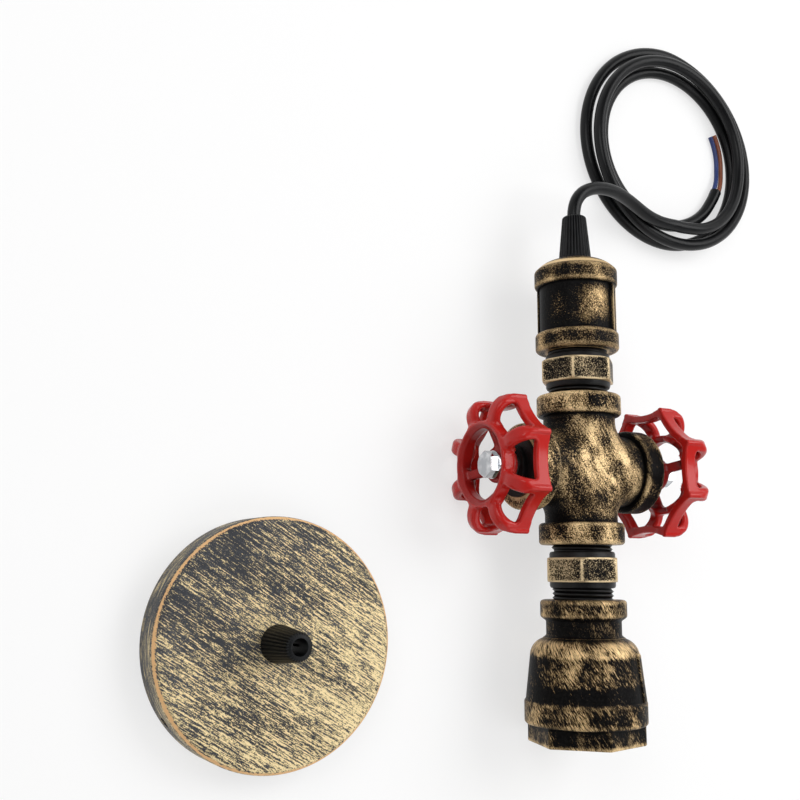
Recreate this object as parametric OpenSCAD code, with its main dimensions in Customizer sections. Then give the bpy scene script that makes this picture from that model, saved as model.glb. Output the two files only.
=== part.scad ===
// Pendant light made of malleable-iron pipe fittings, laid out as a kit on one surface.
// The lamp lies along X with its mouth towards +X, on two lobes of each handwheel.
// Its cord leaves towards -X into a loose coil, and the ceiling canopy stands rim down beside it.

/* [Pipe thread] */
// Outside diameter of the three-quarter inch pipe thread
thread_d = 26.4; // [25:0.1:28]
// Length of thread screwed into each fitting
thread_in = 13; // [9:0.5:14]
// Bore through the nipples
nipple_bore_d = 19; // [12:0.5:21]
// Hexagon of the nipples across its flats
nipple_af = 29.8; // [29.2:0.1:33]
// Length of the nipple hexagon
nipple_hex_l = 10.5; // [7:0.5:12]
// Bare thread between a nipple hexagon and the cross
thread_bare = 5.5; // [4:0.5:8]
// Bare thread between the upper hexagon and the coupling
thread_bare_top = 4; // [3.5:0.5:6]
// Bare thread between the lower hexagon and the bell
thread_bare_bell = 7.5; // [4:0.5:10]
// Diameter of the round collars on both sides of each hexagon
nipple_collar_d = 28.4; // [27.6:0.1:29]
// Length of those collars
nipple_collar_l = 2.6; // [1.5:0.1:3.2]
// Rounding of the hexagons' corners
hex_round = 0.9; // [0.6:0.1:2]
// Turn of the upper hexagon about the lamp's axis
upper_hex_turn = 45; // [0:1:59]
// Turn of the lower hexagon about the lamp's axis
lower_hex_turn = 39; // [0:1:59]

/* [Cross] */
// Distance from the centre of the cross to each open end
arm_l = 33; // [31:0.5:38]
// Outside diameter of the cross arms
arm_d = 31.6; // [31:0.1:34]
// Outside diameter of the beaded ends of every small fitting
band_d = 37.2; // [36:0.1:40]
// Width of the beaded ends of the cross
cross_band_w = 9.5; // [7:0.5:11]
// Radius of the casting's inside corners between two arms
corner_r = 5; // [3:0.5:6]
// Rounding of the beaded ends
bead_r = 1.6; // [0.8:0.1:2.4]
// Passage through the middle of the cross
passage_d = 21; // [15:0.5:23]

/* [Coupling] */
// Length of the coupling
coupling_l = 38; // [36:0.5:44]
// Outside diameter of the coupling between its beads
coupling_d = 32.6; // [32:0.1:34]
// Width of the coupling's beads
coupling_band_w = 8.5; // [7.5:0.5:12]
// Width of the casting ribs along the coupling
coupling_rib_w = 4; // [2.5:0.5:6]
// Depth of the casting ribs under the coupling's beads
coupling_rib_in = 0.8; // [0.4:0.1:1.5]
// Turn of the casting ribs about the lamp's axis
coupling_rib_turn = 145; // [100:5:180]
// Height of the domed bushing on top of the coupling
dome_h = 4.2; // [3:0.1:6]
// Step from the coupling's bead in to the edge of the dome
dome_inset = 1; // [0.5:0.1:2]
// Flat on top of the dome that the cord grip stands on
dome_flat_d = 16; // [15.5:0.5:20]

/* [Bell reducer] */
// Length of the bell from its small end to its mouth
bell_l = 60; // [58:0.5:64]
// Width of the bead on the bell's small end
bell_top_band_w = 8; // [6:0.5:9]
// Outside diameter of the bell's neck
neck_d = 32.4; // [31.5:0.1:34]
// Length of the neck below the bead
neck_l = 8; // [6:0.5:10]
// Radius of the bell's shoulder
shoulder_r = 8; // [7.5:0.5:9]
// Outside diameter of the bell under its shoulder
bell_d = 46.8; // [45.5:0.1:49]
// Widening of the bell from its shoulder to its bead, on each side
bell_flare = 2; // [1:0.1:2.4]
// Outside diameter of the bead at the bell's mouth
bell_band_d = 52.2; // [51.6:0.1:55]
// Width of the bead at the bell's mouth
bell_band_w = 10.5; // [9:0.5:13]
// Hexagon of the bell's mouth across its flats
bell_af = 43.8; // [43.2:0.1:48]
// Length of the hexagon at the mouth
bell_hex_l = 8; // [5:0.5:9]
// Turn of the hexagon at the mouth about the lamp's axis
bell_hex_turn = 15; // [0:1:30]
// Bore of the mouth
mouth_d = 40; // [39.8:0.1:41.5]
// Depth of the bore from the mouth to the shoulder that the holder seats on
mouth_deep = 35.5; // [33:0.5:37]
// Bore under that shoulder
seat_d = 35; // [30:0.5:38]
// Width of the casting ribs on the bell
bell_rib_w = 4; // [2.5:0.5:6]
// Height of those ribs above the bell's shoulder
bell_rib_h = 2.4; // [2.2:0.1:2.5]
// How far those ribs reach up over the bell's shoulder
bell_rib_up = 2; // [1:0.1:4]

/* [Handwheels] */
// Height of the lamp's axis over the floor, on two lobes of each wheel
axis_h = 29.2; // [28.6:0.1:30]
// Radius of the rounded lobe tips
lobe_r = 1.4; // [1.2:0.1:1.8]
// Lobes of a handwheel
lobes = 8; // [6:1:10]
// Distance from the end of the cross's arm to the middle of the scalloped rim
rim_out = 6.8; // [6.5:0.1:10]
// Width of the rim along the wheel's axis
rim_w = 5.8; // [4.5:0.1:6.4]
// Radial thickness of the rim in the hollows
rim_t = 3.2; // [2.6:0.1:4]
// Diameter of the opening inside the rim across two lobes
rim_in_d = 53; // [51.5:0.1:54]
// Depth of the hollows between two lobe tips
scallop = 4.5; // [4:0.1:5.2]
// How far a hollow bites into the lobes beside it
lobe_bite = 0.3; // [0.2:0.05:0.5]
// Outside radius of the bent fingers
finger_r = 10; // [9.2:0.1:10.8]
// Straight part of a finger between the middle of the rim and its bend
finger_rise = 2.9; // [2:0.1:4]
// Thickness of a finger
finger_t = 4; // [3.2:0.1:4.6]
// Width of a finger
finger_w = 5.6; // [4.5:0.1:7]
// Outside diameter of the inner ring
ring_d = 36.6; // [35:0.1:38.5]
// Radial thickness of the inner ring
ring_t = 3.2; // [2.4:0.1:4]
// Width of the inner ring along the wheel's axis
ring_w = 6; // [5:0.1:7]
// Depth of the chamfer inside the inner ring
ring_chamfer = 1.5; // [0.8:0.1:2]
// How far the inner ring stands out past the fingers
ring_proud = 0.4; // [0.2:0.1:1]
// Spokes between the hub and the inner ring
spokes = 3; // [3:1:6]
// Width of a spoke
spoke_w = 4.4; // [3:0.1:6]
// Thickness of a spoke along the wheel's axis
spoke_t = 3.2; // [2.4:0.1:4]
// Outside diameter of the hub
hub_d = 15.4; // [13.5:0.1:18]
// Length of the hub
hub_l = 7; // [6:0.5:8]
// How far the hub's face lies behind the inner ring's
hub_sunk = 7.8; // [6.5:0.1:8.5]
// Journal of the spindle in the hub
journal_d = 8; // [7:0.1:9]
// Diameter of the spindle where it is screwed into its plug
spindle_d = 11; // [10.5:0.1:13]
// Depth of a side plug in its arm
plug_in = 11; // [9:0.5:12]
// Lip of the plug in front of its arm
plug_lip = 1.5; // [1:0.1:2]
// Boss on the plug round the spindle
boss_l = 2; // [1:0.1:2.5]
// Wall of that boss
boss_t = 3; // [2:0.1:4]
// Screw that holds a wheel on its spindle
wheel_screw_d = 6; // [5:0.5:6]
// Hexagon of that screw across its flats
wheel_screw_af = 10; // [9.5:0.5:12]
// Height of the screw's head
wheel_screw_head = 4; // [3:0.5:5]
// Length of the screw in its spindle
wheel_screw_l = 10; // [8:0.5:12]
// Outside diameter of the washer under the screw
washer_d = 12; // [11.5:0.1:14]
// Thickness of the washer
washer_t = 1; // [0.8:0.1:1.6]

/* [Lamp holder] */
// Outside diameter of the ceramic holder
holder_d = 37.4; // [34:0.1:39]
// Length of the ceramic holder
holder_l = 29; // [28:0.5:32]
// Thickness of the holder's floor
holder_floor = 6; // [5:0.5:7]
// Inside diameter of the screw shell for a 27 mm lamp cap
shell_in_d = 27.5; // [27.2:0.1:28]
// Thickness of the screw shell
shell_t = 0.6; // [0.4:0.1:1]
// Length of the screw shell
shell_l = 17; // [15:0.5:18]
// Thickness of the plate that carries the holder
plate_t = 2; // [1.5:0.1:3]
// Height of the centre contact's tongue above the floor
contact_h = 3.6; // [3:0.1:4]
// Thickness of the contact's strip
contact_t = 0.6; // [0.4:0.1:0.8]
// Distance of the terminal screws from the lamp's axis
terminal_out = 6.5; // [6:0.1:7]
// Diameter of the terminal screws
terminal_d = 2.4; // [2:0.1:3]
// Diameter of the terminal screws' heads
terminal_head_d = 4; // [3.6:0.1:4.4]
// Length of the terminal screws in the ceramic
terminal_l = 3; // [2:0.1:4]
// Diameter of the threaded tubes that carry the holder and the cord grips
tube_d = 10; // [9.5:0.1:10.5]
// Bore of those tubes
tube_bore_d = 7.2; // [6.9:0.1:7.6]
// Hexagon of the nuts on those tubes across its flats
nut_af = 14; // [13:0.5:16]
// Height of those nuts
nut_h = 3; // [2.5:0.5:4]

/* [Cord grips] */
// Height of the ribbed cap of a cord grip
cap_h = 21; // [18:0.5:24]
// Diameter of the cap at its foot
cap_base_d = 14.8; // [13.8:0.1:15.4]
// Diameter of the cap at its tip
cap_tip_d = 11; // [10.2:0.1:11.4]
// Flutes around the cap
cap_flutes = 18; // [12:1:20]
// Radius of a flute
flute_r = 0.7; // [0.5:0.1:0.9]
// Distance of a flute's axis outside the cap's wall
flute_out = 0.2; // [0.1:0.1:0.4]
// Plain foot of the cap under the flutes
cap_foot_h = 2; // [1:0.1:4]
// Diameter of the flange that seats the grip's stem
flange_d = 11.4; // [11:0.1:11.6]
// Thickness of that flange
flange_t = 1; // [0.8:0.1:1.6]
// Height of the clamping fingers inside the cap
collet_l = 12; // [10:0.5:13]
// Outside diameter of the clamping fingers inside the cap
collet_d = 8.8; // [8.4:0.1:9]

/* [Canopy] */
// Diameter of the canopy at its rim
canopy_d = 97; // [90:1:110]
// Height of the canopy
canopy_h = 17.5; // [16:0.5:22]
// Thickness of the canopy's sheet
canopy_t = 1.2; // [1:0.1:2]
// Rounding of the canopy's top edge
canopy_edge_r = 3; // [2.5:0.5:5]
// Holes through the rim for the fixing screws
rim_hole_d = 4.6; // [4:0.1:5]
// Height of those holes above the rim
rim_hole_h = 6; // [5:0.5:7]
// Direction of those holes about the canopy's axis
rim_hole_turn = -55; // [-60:5:-50]
// Place of the canopy along the lamp, from the centre of the cross
canopy_x = 72; // [68:1:76]
// Distance of the canopy's centre in front of the lamp's axis
canopy_out = 137; // [132:1:145]
// Width of the ceiling bracket
bracket_w = 16; // [13:0.5:20]
// Thickness of the bracket's sheet
bracket_t = 1.5; // [1.2:0.1:2]
// Height of the bracket's turned-up ends
bracket_tab_h = 10; // [9:0.5:11]
// Distance between the bracket's two fixing holes
fix_pitch = 56; // [50:1:60]
// Diameter of a fixing hole
fix_hole_d = 4.8; // [4:0.1:5.5]

/* [Cord] */
// Diameter of the cord's jacket
cord_d = 6; // [5.6:0.1:6.2]
// Diameter of an insulated core
core_d = 2.4; // [2:0.1:2.6]

/* [Fits] */
// Radial clearance of a screwed or seated joint
fit = 0.05; // [0.02:0.01:0.1]
// Clearance of a part that turns by hand
run = 0.2; // [0.15:0.05:0.3]
// Clearance of the cord in a hole and of the cap round its stem
loose = 0.3; // [0.25:0.05:0.4]

/* [Hidden] */
$fn = 64;

// Cutting tools pass this far through the faces that they open.
eps = 0.5;
// Half the angle between two lobes of a handwheel
lobe_half = 180 / lobes;

// Stations along the lamp's axis, from the centre of the cross towards the mouth
lower_hex_x = arm_l + thread_bare;
bell_top_x = lower_hex_x + nipple_hex_l + thread_bare_bell;
mouth_x = bell_top_x + bell_l;
seat_x = mouth_x - mouth_deep;
upper_hex_x = -arm_l - thread_bare;
coupling_x = upper_hex_x - nipple_hex_l - thread_bare_top;
coupling_top_x = coupling_x - coupling_l;
dome_x = coupling_top_x - dome_h;
grip_foot_x = dome_x - loose;
grip_tip_x = grip_foot_x - cap_h;
holder_x = seat_x + plate_t;
floor_x = holder_x + holder_floor;
holder_top_x = holder_x + holder_l;
shell_x = floor_x + contact_h + 1;

// The two wires run side by side, and each contact strip covers only its own.
wire_out = core_d / 2 + loose + 0.15;
wire_gap = loose + 0.1;
tab_w = 5;

// The wheels stand on two lobes each.
lobe_c = (axis_h - lobe_r) / cos(lobe_half);
tip_r = lobe_c + lobe_r;

// Stations along a handwheel's axis, from the lamp's axis outwards
rim_mid = arm_l + rim_out;
rim_z = rim_mid - rim_w / 2;
bend_z = rim_mid + finger_rise;
ring_z1 = bend_z + finger_r + ring_proud;
finger_step = 0.15;
ring_z = ring_z1 - ring_w;
ring_in_r = ring_d / 2 - ring_t;
hub_z1 = ring_z1 - hub_sunk;
hub_z = hub_z1 - hub_l;
journal_end = hub_z1 + run;
head_z = journal_end + washer_t;
screw_out = head_z + wheel_screw_head;

// The origin is under the middle of the lamp and the canopy together.
frame_x = (max(mouth_x, canopy_x + canopy_d / 2) + grip_tip_x) / 2;
frame_y = (max(ring_z1, screw_out) - canopy_out - canopy_d / 2) / 2;
thread_bore_r = thread_d / 2 + fit;
canopy_in_r = canopy_d / 2 - canopy_t;
hole_r = cord_d / 2 + loose;

// The cord leaves the grip, turns towards the far wheel and comes down on its coil.
lead_points = [[-88, 0, axis_h], [-101, 0, axis_h], [-113, 0, axis_h], [-119, 0, axis_h],
    [-124.5, 1.5, axis_h], [-129, 5, axis_h - 0.2], [-132, 10, axis_h - 0.7], [-134, 16, axis_h - 1.5],
    [-135, 24, 26.3], [-135, 32, 24], [-134, 40, 21.4], [-132.5, 47, 19.2], [-131, 53, 17.6], [-130, 58, 16.5],
    [-129.5, 62, 15.8], [-129.2, 66, 15.2], [-129.1, 71, 14.8], [-129.1, 75.8, 14.8]];

// The coil starts where the lead ends, comes down on its top layer, widens for one turn,
// drops a layer in half a turn and winds inwards underneath.
coil_c = [-173, 82];
coil_in_r = 44;
coil_top_z = 9.8;
coil_low_z = 3;
coil_rise = 5;
coil_land_turns = 0.25;
coil_out_rate = 7;
coil_in_rate = 10.4;
coil_top_turns = 1;
coil_drop_turns = 0.5;
coil_low_turns = 1.66;
coil_turns = coil_top_turns + coil_drop_turns + coil_low_turns;
coil_drop_rate = 8;
loop_rings = 24;
core_len = 34;
core_bend_r = 34;
core_land = 16;

function unit(v) = v / norm(v);
function ease(t) = t * t * (3 - 2 * t);
function coil_r_top(t) = coil_in_r + coil_out_rate * min(t, coil_top_turns);
function coil_r_drop(t) = coil_drop_rate * min(max(t - coil_top_turns, 0), coil_drop_turns);
function coil_r_low(t) = coil_in_rate * max(t - coil_top_turns - coil_drop_turns, 0);
function coil_r(t) = coil_r_top(t) + coil_r_drop(t) - coil_r_low(t);
function coil_fall(t) = ease(min(max((t - coil_top_turns) / coil_drop_turns, 0), 1));
function coil_land(t) = coil_rise * (1 - ease(min(t / coil_land_turns, 1)));
function coil_z(t) = coil_top_z + coil_land(t) - (coil_top_z - coil_low_z) * coil_fall(t);
function coil_at(t) = [coil_c[0] + coil_r(t) * cos(360 * t), coil_c[1] + coil_r(t) * sin(360 * t), coil_z(t)];
function coil_path(steps) = [for (i = [0 : steps]) coil_at(coil_turns * i / steps)];
function runout(a, b) = b + unit(b - a) * cord_d;

coil_steps = ceil(coil_turns * loop_rings);
coil_first = runout(coil_at(0.002), coil_at(0));
coil_last = runout(coil_at(coil_turns - 0.002), coil_at(coil_turns));
coil_points = concat([coil_first], coil_path(coil_steps), [coil_last]);

// The least gap of the coil to itself, measured on points a quarter of a ring apart
fine_steps = 4 * coil_steps;
fine = coil_path(fine_steps);
near_steps = floor(fine_steps / coil_turns / 4);
self_gaps = [for (i = [0 : fine_steps - near_steps]) for (j = [i + near_steps : fine_steps])
    norm(fine[i] - fine[j])];
echo(coil_least_gap = min(self_gaps) - cord_d);
function path_len(p) = [for (i = [1 : len(p) - 1]) norm(p[i] - p[i - 1])] * [for (i = [1 : len(p) - 1]) 1];
echo(cord_length = path_len(lead_points) + path_len(coil_points) + core_len);

// One tube along a path, with a ring of points square to the path at each of its points.
function heading(p, i) = unit(p[min(i + 1, len(p) - 1)] - p[max(i - 1, 0)]);
function across(t) = unit(cross(t, [0, 0, 1]));
function ring_at(p, i, r, n) = [for (k = [0 : n - 1])
    let (t = heading(p, i), u = across(t), v = cross(u, t), a = 360 * (k + 0.5) / n)
    p[i] + r * (u * cos(a) + v * sin(a))];
module tube(p, d, n) {
    last = len(p) - 1;
    pts = [for (i = [0 : last]) each ring_at(p, i, d / 2, n)];
    sides = [for (i = [0 : last - 1]) for (k = [0 : n - 1])
        let (a = i * n + k, b = i * n + (k + 1) % n) each [[a, b, b + n], [a, b + n, a + n]]];
    foot = [for (k = [1 : n - 2]) [0, k + 1, k]];
    head = [for (k = [1 : n - 2]) [last * n, last * n + k, last * n + k + 1]];
    polyhedron(points = pts, faces = concat([for (f = sides) [f[0], f[2], f[1]]],
        [for (f = foot) [f[0], f[2], f[1]]], [for (f = head) [f[0], f[2], f[1]]]));
}

// Frames: the floor under the centre of the cross, the lamp's axis and the two wheel axes
module on_floor() {
    translate([-frame_x, -frame_y, 0]) children();
}
module on_lamp() {
    on_floor() translate([0, 0, axis_h]) rotate([0, 90, 0]) children();
}
module on_near() {
    on_floor() translate([0, 0, axis_h]) rotate([90, 0, 0]) children();
}
module on_far() {
    on_floor() translate([0, 0, axis_h]) rotate([-90, 0, 0]) children();
}
module on_both() {
    on_near() children();
    on_far() children();
}
module on_canopy() {
    on_floor() translate([canopy_x, -canopy_out, 0]) children();
}

// A plain cylinder from z0 to z1
module rod(d, z0, z1) {
    translate([0, 0, z0]) cylinder(d = d, h = z1 - z0);
}
// A hexagonal prism from z0 to z1, given across its flats
module hex(af, z0, z1) {
    translate([0, 0, z0]) cylinder(d = af / cos(30), h = z1 - z0, $fn = 6);
}
// Half profile of a disc from z0 to z1 with both outer edges rounded
module bead_profile(d, z0, z1, r) {
    translate([0, z0]) square([d / 2 - r, z1 - z0]);
    translate([0, z0 + r]) square([d / 2, z1 - z0 - 2 * r]);
    translate([d / 2 - r, z0 + r]) circle(r);
    translate([d / 2 - r, z1 - r]) circle(r);
}
module bead(d, z0, z1, r) {
    rotate_extrude() intersection() {
        bead_profile(d, z0, z1, r);
        translate([0, z0]) square([d, z1 - z0]);
    }
}

// Bell reducer
module bell_outside() {
    bead(band_d, bell_top_x, bell_top_x + bell_top_band_w, bead_r);
    neck_end = bell_top_x + bell_top_band_w + neck_l;
    rod(neck_d, bell_top_x + bell_top_band_w - eps, neck_end + shoulder_r / 2);
    shoulder_x = neck_end + shoulder_r;
    band_x = mouth_x - bell_hex_l - bell_band_w;
    rotate_extrude() intersection() {
        union() {
            translate([bell_d / 2 - shoulder_r, shoulder_x]) circle(shoulder_r);
            translate([0, neck_end]) square([bell_d / 2 - shoulder_r, shoulder_r]);
        }
        translate([0, neck_end]) square([bell_d, shoulder_r]);
    }
    translate([0, 0, shoulder_x])
        cylinder(d1 = bell_d, d2 = bell_d + 2 * bell_flare, h = band_x - shoulder_x + eps);
    bead(bell_band_d, band_x, band_x + bell_band_w, bead_r);
    rotate(bell_hex_turn) hex(bell_af, band_x + bell_band_w - eps, mouth_x);
    for (s = [0, 180]) rotate(coupling_rib_turn + s)
        translate([0, -bell_rib_w / 2, shoulder_x - bell_rib_up])
            cube([bell_d / 2 + bell_rib_h, bell_rib_w, band_x - shoulder_x + bell_rib_up + eps]);
}
module bell_reducer() {
    cone_x = bell_top_x + thread_in + 2;
    on_lamp() color("#4a3b28") difference() {
        bell_outside();
        rotate_extrude() polygon([[0, bell_top_x - eps], [thread_bore_r, bell_top_x - eps],
            [thread_bore_r, cone_x], [seat_d / 2, seat_x - 2], [seat_d / 2, seat_x],
            [mouth_d / 2, seat_x], [mouth_d / 2, mouth_x + eps], [0, mouth_x + eps]]);
    }
}

// Hexagon nipples
module nipple(hex_x, turn, from_x, to_x) {
    difference() {
        union() {
            rod(thread_d, from_x, to_x);
            rotate(turn) intersection() {
                hex(nipple_af, hex_x, hex_x + nipple_hex_l);
                bead(nipple_af / cos(30) + 2 * run, hex_x, hex_x + nipple_hex_l, hex_round);
            }
            for (s = [0, 1]) translate([0, 0, hex_x + nipple_hex_l / 2]) mirror([0, 0, s])
                translate([0, 0, nipple_hex_l / 2 - eps])
                    cylinder(d1 = nipple_collar_d, d2 = nipple_collar_d - 2 * run, h = nipple_collar_l + eps);
        }
        rod(nipple_bore_d, from_x - eps, to_x + eps);
    }
}
module lower_nipple() {
    on_lamp() color("#54442c") nipple(lower_hex_x, lower_hex_turn, arm_l - thread_in, bell_top_x + thread_in);
}
module upper_nipple() {
    on_lamp() color("#54442c")
        nipple(upper_hex_x - nipple_hex_l, upper_hex_turn, coupling_x - thread_in, thread_in - arm_l);
}

// Four-way cross: two pipes joined by quarter bends, so that every inside corner is rounded
module cross_arm() {
    rod(arm_d, -arm_l + bead_r, arm_l - bead_r);
    for (s = [-1, 1]) bead(band_d, s > 0 ? arm_l - cross_band_w : -arm_l,
        s > 0 ? arm_l : cross_band_w - arm_l, bead_r);
}
module cross_bend() {
    bend_r = arm_d / 2 + corner_r;
    translate([bend_r, bend_r, 0]) rotate(180) rotate_extrude(angle = 90)
        translate([bend_r, 0]) circle(d = arm_d);
}
module cross_bores() {
    rod(passage_d, -arm_l, arm_l);
    for (s = [0, 180]) rotate([0, s, 0]) rod(2 * thread_bore_r, arm_l - thread_in - 1, arm_l + eps);
}
module pipe_cross() {
    on_floor() translate([0, 0, axis_h]) color("#4a3b28") difference() {
        union() {
            rotate([0, 90, 0]) cross_arm();
            rotate([90, 0, 0]) cross_arm();
            for (q = [0 : 90 : 270]) rotate(q) cross_bend();
        }
        rotate([0, 90, 0]) cross_bores();
        rotate([90, 0, 0]) cross_bores();
    }
}

// Coupling and the domed bushing in its upper end
module coupling() {
    on_lamp() color("#4a3b28") difference() {
        union() {
            rod(coupling_d, coupling_top_x + bead_r, coupling_x - bead_r);
            bead(band_d, coupling_top_x, coupling_top_x + coupling_band_w, bead_r);
            bead(band_d, coupling_x - coupling_band_w, coupling_x, bead_r);
            for (s = [0, 180]) rotate(coupling_rib_turn + s)
                translate([0, -coupling_rib_w / 2, coupling_top_x + bead_r])
                    cube([band_d / 2 - coupling_rib_in, coupling_rib_w, coupling_l - 2 * bead_r]);
        }
        rod(2 * thread_bore_r, coupling_top_x - eps, coupling_x + eps);
    }
}
module top_bushing() {
    dome_edge_r = band_d / 2 - dome_inset;
    rise = dome_edge_r - dome_flat_d / 2;
    dome_r = (rise * rise + dome_h * dome_h) / (2 * dome_h);
    on_lamp() color("#54442c") difference() {
        union() {
            rod(thread_d, coupling_top_x - eps, coupling_top_x + thread_in - 1);
            rotate_extrude() intersection() {
                translate([0, dome_x]) square([dome_edge_r, dome_h]);
                union() {
                    translate([dome_flat_d / 2, dome_x + dome_r]) circle(dome_r);
                    translate([0, dome_x]) square([dome_flat_d / 2, dome_h]);
                }
            }
        }
        rod(tube_d + 2 * fit, dome_x - eps, coupling_top_x + thread_in);
    }
}

// Cord grip: a stem with clamping fingers and a fluted cap, drawn from its foot upwards
module grip_stem(below) {
    difference() {
        union() {
            rod(tube_d, -below, flange_t / 2);
            rod(flange_d, 0, flange_t);
            rod(collet_d, flange_t / 2, collet_l);
        }
        rod(tube_bore_d, -below - eps, collet_l + eps);
        for (a = [0, 90]) rotate(a) translate([-tube_d, -0.5, collet_l / 2]) cube([2 * tube_d, 1, cap_h]);
    }
}
module grip_cap() {
    lean = atan((cap_base_d - cap_tip_d) / 2 / cap_h);
    translate([0, 0, loose]) difference() {
        union() {
            cylinder(d1 = cap_base_d, d2 = cap_tip_d, h = cap_h - 1);
            translate([0, 0, cap_h - 1]) cylinder(d1 = cap_tip_d, d2 = cap_tip_d - 1.6, h = 1);
        }
        rod(flange_d + 2 * loose, -eps, flange_t + loose);
        rod(collet_d + 2 * loose, 0, collet_l + loose);
        rod(2 * hole_r, 0, cap_h + eps);
        for (k = [0 : cap_flutes - 1]) rotate(360 * k / cap_flutes)
            translate([cap_base_d / 2 + flute_out, 0, cap_foot_h]) rotate([0, -lean, 0])
                cylinder(r = flute_r, h = cap_h, $fn = 16);
    }
}
module lamp_grip_stem() {
    on_lamp() translate([0, 0, dome_x]) mirror([0, 0, 1]) color("#1b1b1c") grip_stem(dome_h + thread_in - 3);
}
module lamp_grip_cap() {
    on_lamp() translate([0, 0, dome_x]) mirror([0, 0, 1]) color("#1b1b1c") grip_cap();
}

// Plugs that close the side arms and carry the wheel spindles
module port_plug() {
    difference() {
        union() {
            rod(thread_d, arm_l - plug_in, arm_l + plug_lip);
            rod(spindle_d + 2 * boss_t, arm_l, arm_l + plug_lip + boss_l);
        }
        rod(spindle_d + 2 * fit, arm_l - plug_in - eps, arm_l + plug_lip + boss_l + eps);
    }
}
module port_plug_near() {
    on_near() color("#3a332a") port_plug();
}
module port_plug_far() {
    on_far() color("#3a332a") port_plug();
}
module spindle() {
    difference() {
        union() {
            rod(spindle_d, arm_l - plug_in, hub_z - run);
            rod(journal_d, arm_l, journal_end);
        }
        rod(wheel_screw_d, journal_end - wheel_screw_l - run, journal_end + eps);
    }
}
module spindle_near() {
    on_near() color("#77736b") spindle();
}
module spindle_far() {
    on_far() color("#77736b") spindle();
}

// Handwheel: a scalloped rim, bent fingers from its lobes out to an inner ring, and a sunk hub on spokes
module lobe_tips(r) {
    for (k = [0 : lobes - 1]) rotate((2 * k + 1) * lobe_half) translate([lobe_c, 0]) circle(r);
}
// Each hollow is an arc that meets the two lobes beside it at a slight edge.
hollow_low_r = tip_r - scallop;
hollow_inset = hollow_low_r - lobe_r + lobe_bite;
hollow_c = (lobe_c * lobe_c - hollow_inset * hollow_inset) / (2 * (lobe_c * cos(lobe_half) - hollow_inset));
hollow_r = hollow_c - hollow_low_r;
module hollows(grow) {
    for (k = [0 : lobes - 1]) rotate(2 * k * lobe_half) translate([hollow_c, 0]) circle(hollow_r + grow);
}
module lobe_outline(inset) {
    tip = lobe_r - inset;
    bite = hollow_r + inset;
    apart = tip + bite - lobe_bite;
    share = (apart * apart + tip * tip - bite * bite) / (2 * apart * apart);
    join_x = lobe_c * cos(lobe_half) * (1 - share) + hollow_c * share;
    join_y = lobe_c * sin(lobe_half) * (1 - share);
    difference() {
        circle(norm([join_x, join_y]));
        hollows(inset);
    }
    lobe_tips(tip);
}
// The rim keeps its thickness along the hollows.
module rim_opening() {
    difference() {
        circle(d = rim_in_d);
        hollows(rim_t);
    }
}
module finger() {
    bend_r = tip_r - finger_r;
    translate([0, finger_w / 2, 0]) rotate([90, 0, 0]) linear_extrude(finger_w) difference() {
        union() {
            intersection() {
                translate([bend_r, bend_z]) circle(finger_r);
                translate([ring_d / 2 - ring_t / 2, bend_z]) square([tip_r, finger_r]);
            }
            translate([tip_r - finger_t + finger_step, rim_z])
                square([finger_t - finger_step, bend_z - rim_z + 1]);
        }
        translate([bend_r, bend_z]) circle(finger_r - finger_t);
        translate([0, bend_z - eps]) square([bend_r, ring_z - bend_z + eps]);
    }
}
module spoke() {
    hub_in = hub_d / 2 - 1;
    ring_at = ring_in_r + 0.6;
    translate([0, spoke_w / 2, 0]) rotate([90, 0, 0]) linear_extrude(spoke_w)
        polygon([[hub_in, hub_z1 - 0.5 - spoke_t], [ring_at, ring_z + 0.4], [ring_at, ring_z + 0.4 + spoke_t],
            [hub_in, hub_z1 - 0.5]]);
}
module handwheel() {
    difference() {
        union() {
            translate([0, 0, rim_z]) linear_extrude(rim_w) difference() {
                lobe_outline(0);
                rim_opening();
            }
            intersection() {
                for (k = [0 : lobes - 1]) rotate((2 * k + 1) * lobe_half) finger();
                translate([0, 0, rim_z]) linear_extrude(ring_z1) lobe_outline(finger_step);
            }
            difference() {
                bead(ring_d, ring_z, ring_z1, 1.2);
                rod(ring_d - 2 * ring_t, ring_z - eps, ring_z1 + eps);
                translate([0, 0, ring_z1 - ring_chamfer])
                    cylinder(r1 = ring_in_r - eps, r2 = ring_in_r + ring_chamfer, h = ring_chamfer + eps);
            }
            for (k = [0 : spokes - 1]) rotate(360 * k / spokes + 2 * lobe_half) spoke();
            rod(hub_d, hub_z, hub_z1);
        }
        rod(journal_d + 2 * fit, hub_z - eps, hub_z1 + eps);
    }
}
module handwheel_near() {
    on_near() color("#c8201e") handwheel();
}
module handwheel_far() {
    on_far() rotate(90) color("#c8201e") handwheel();
}
module wheel_washers() {
    on_both() color("#c9ccd0") difference() {
        rod(washer_d, journal_end, head_z);
        rod(wheel_screw_d + 2 * run, journal_end - eps, head_z + eps);
    }
}
module wheel_screws() {
    on_both() color("#dfe2e6") union() {
        intersection() {
            hex(wheel_screw_af, head_z, screw_out);
            bead(wheel_screw_af / cos(30) + 0.2, head_z - 1, screw_out, 0.9);
        }
        rod(wheel_screw_d - 2 * fit, journal_end - wheel_screw_l, head_z + eps);
    }
}

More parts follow.
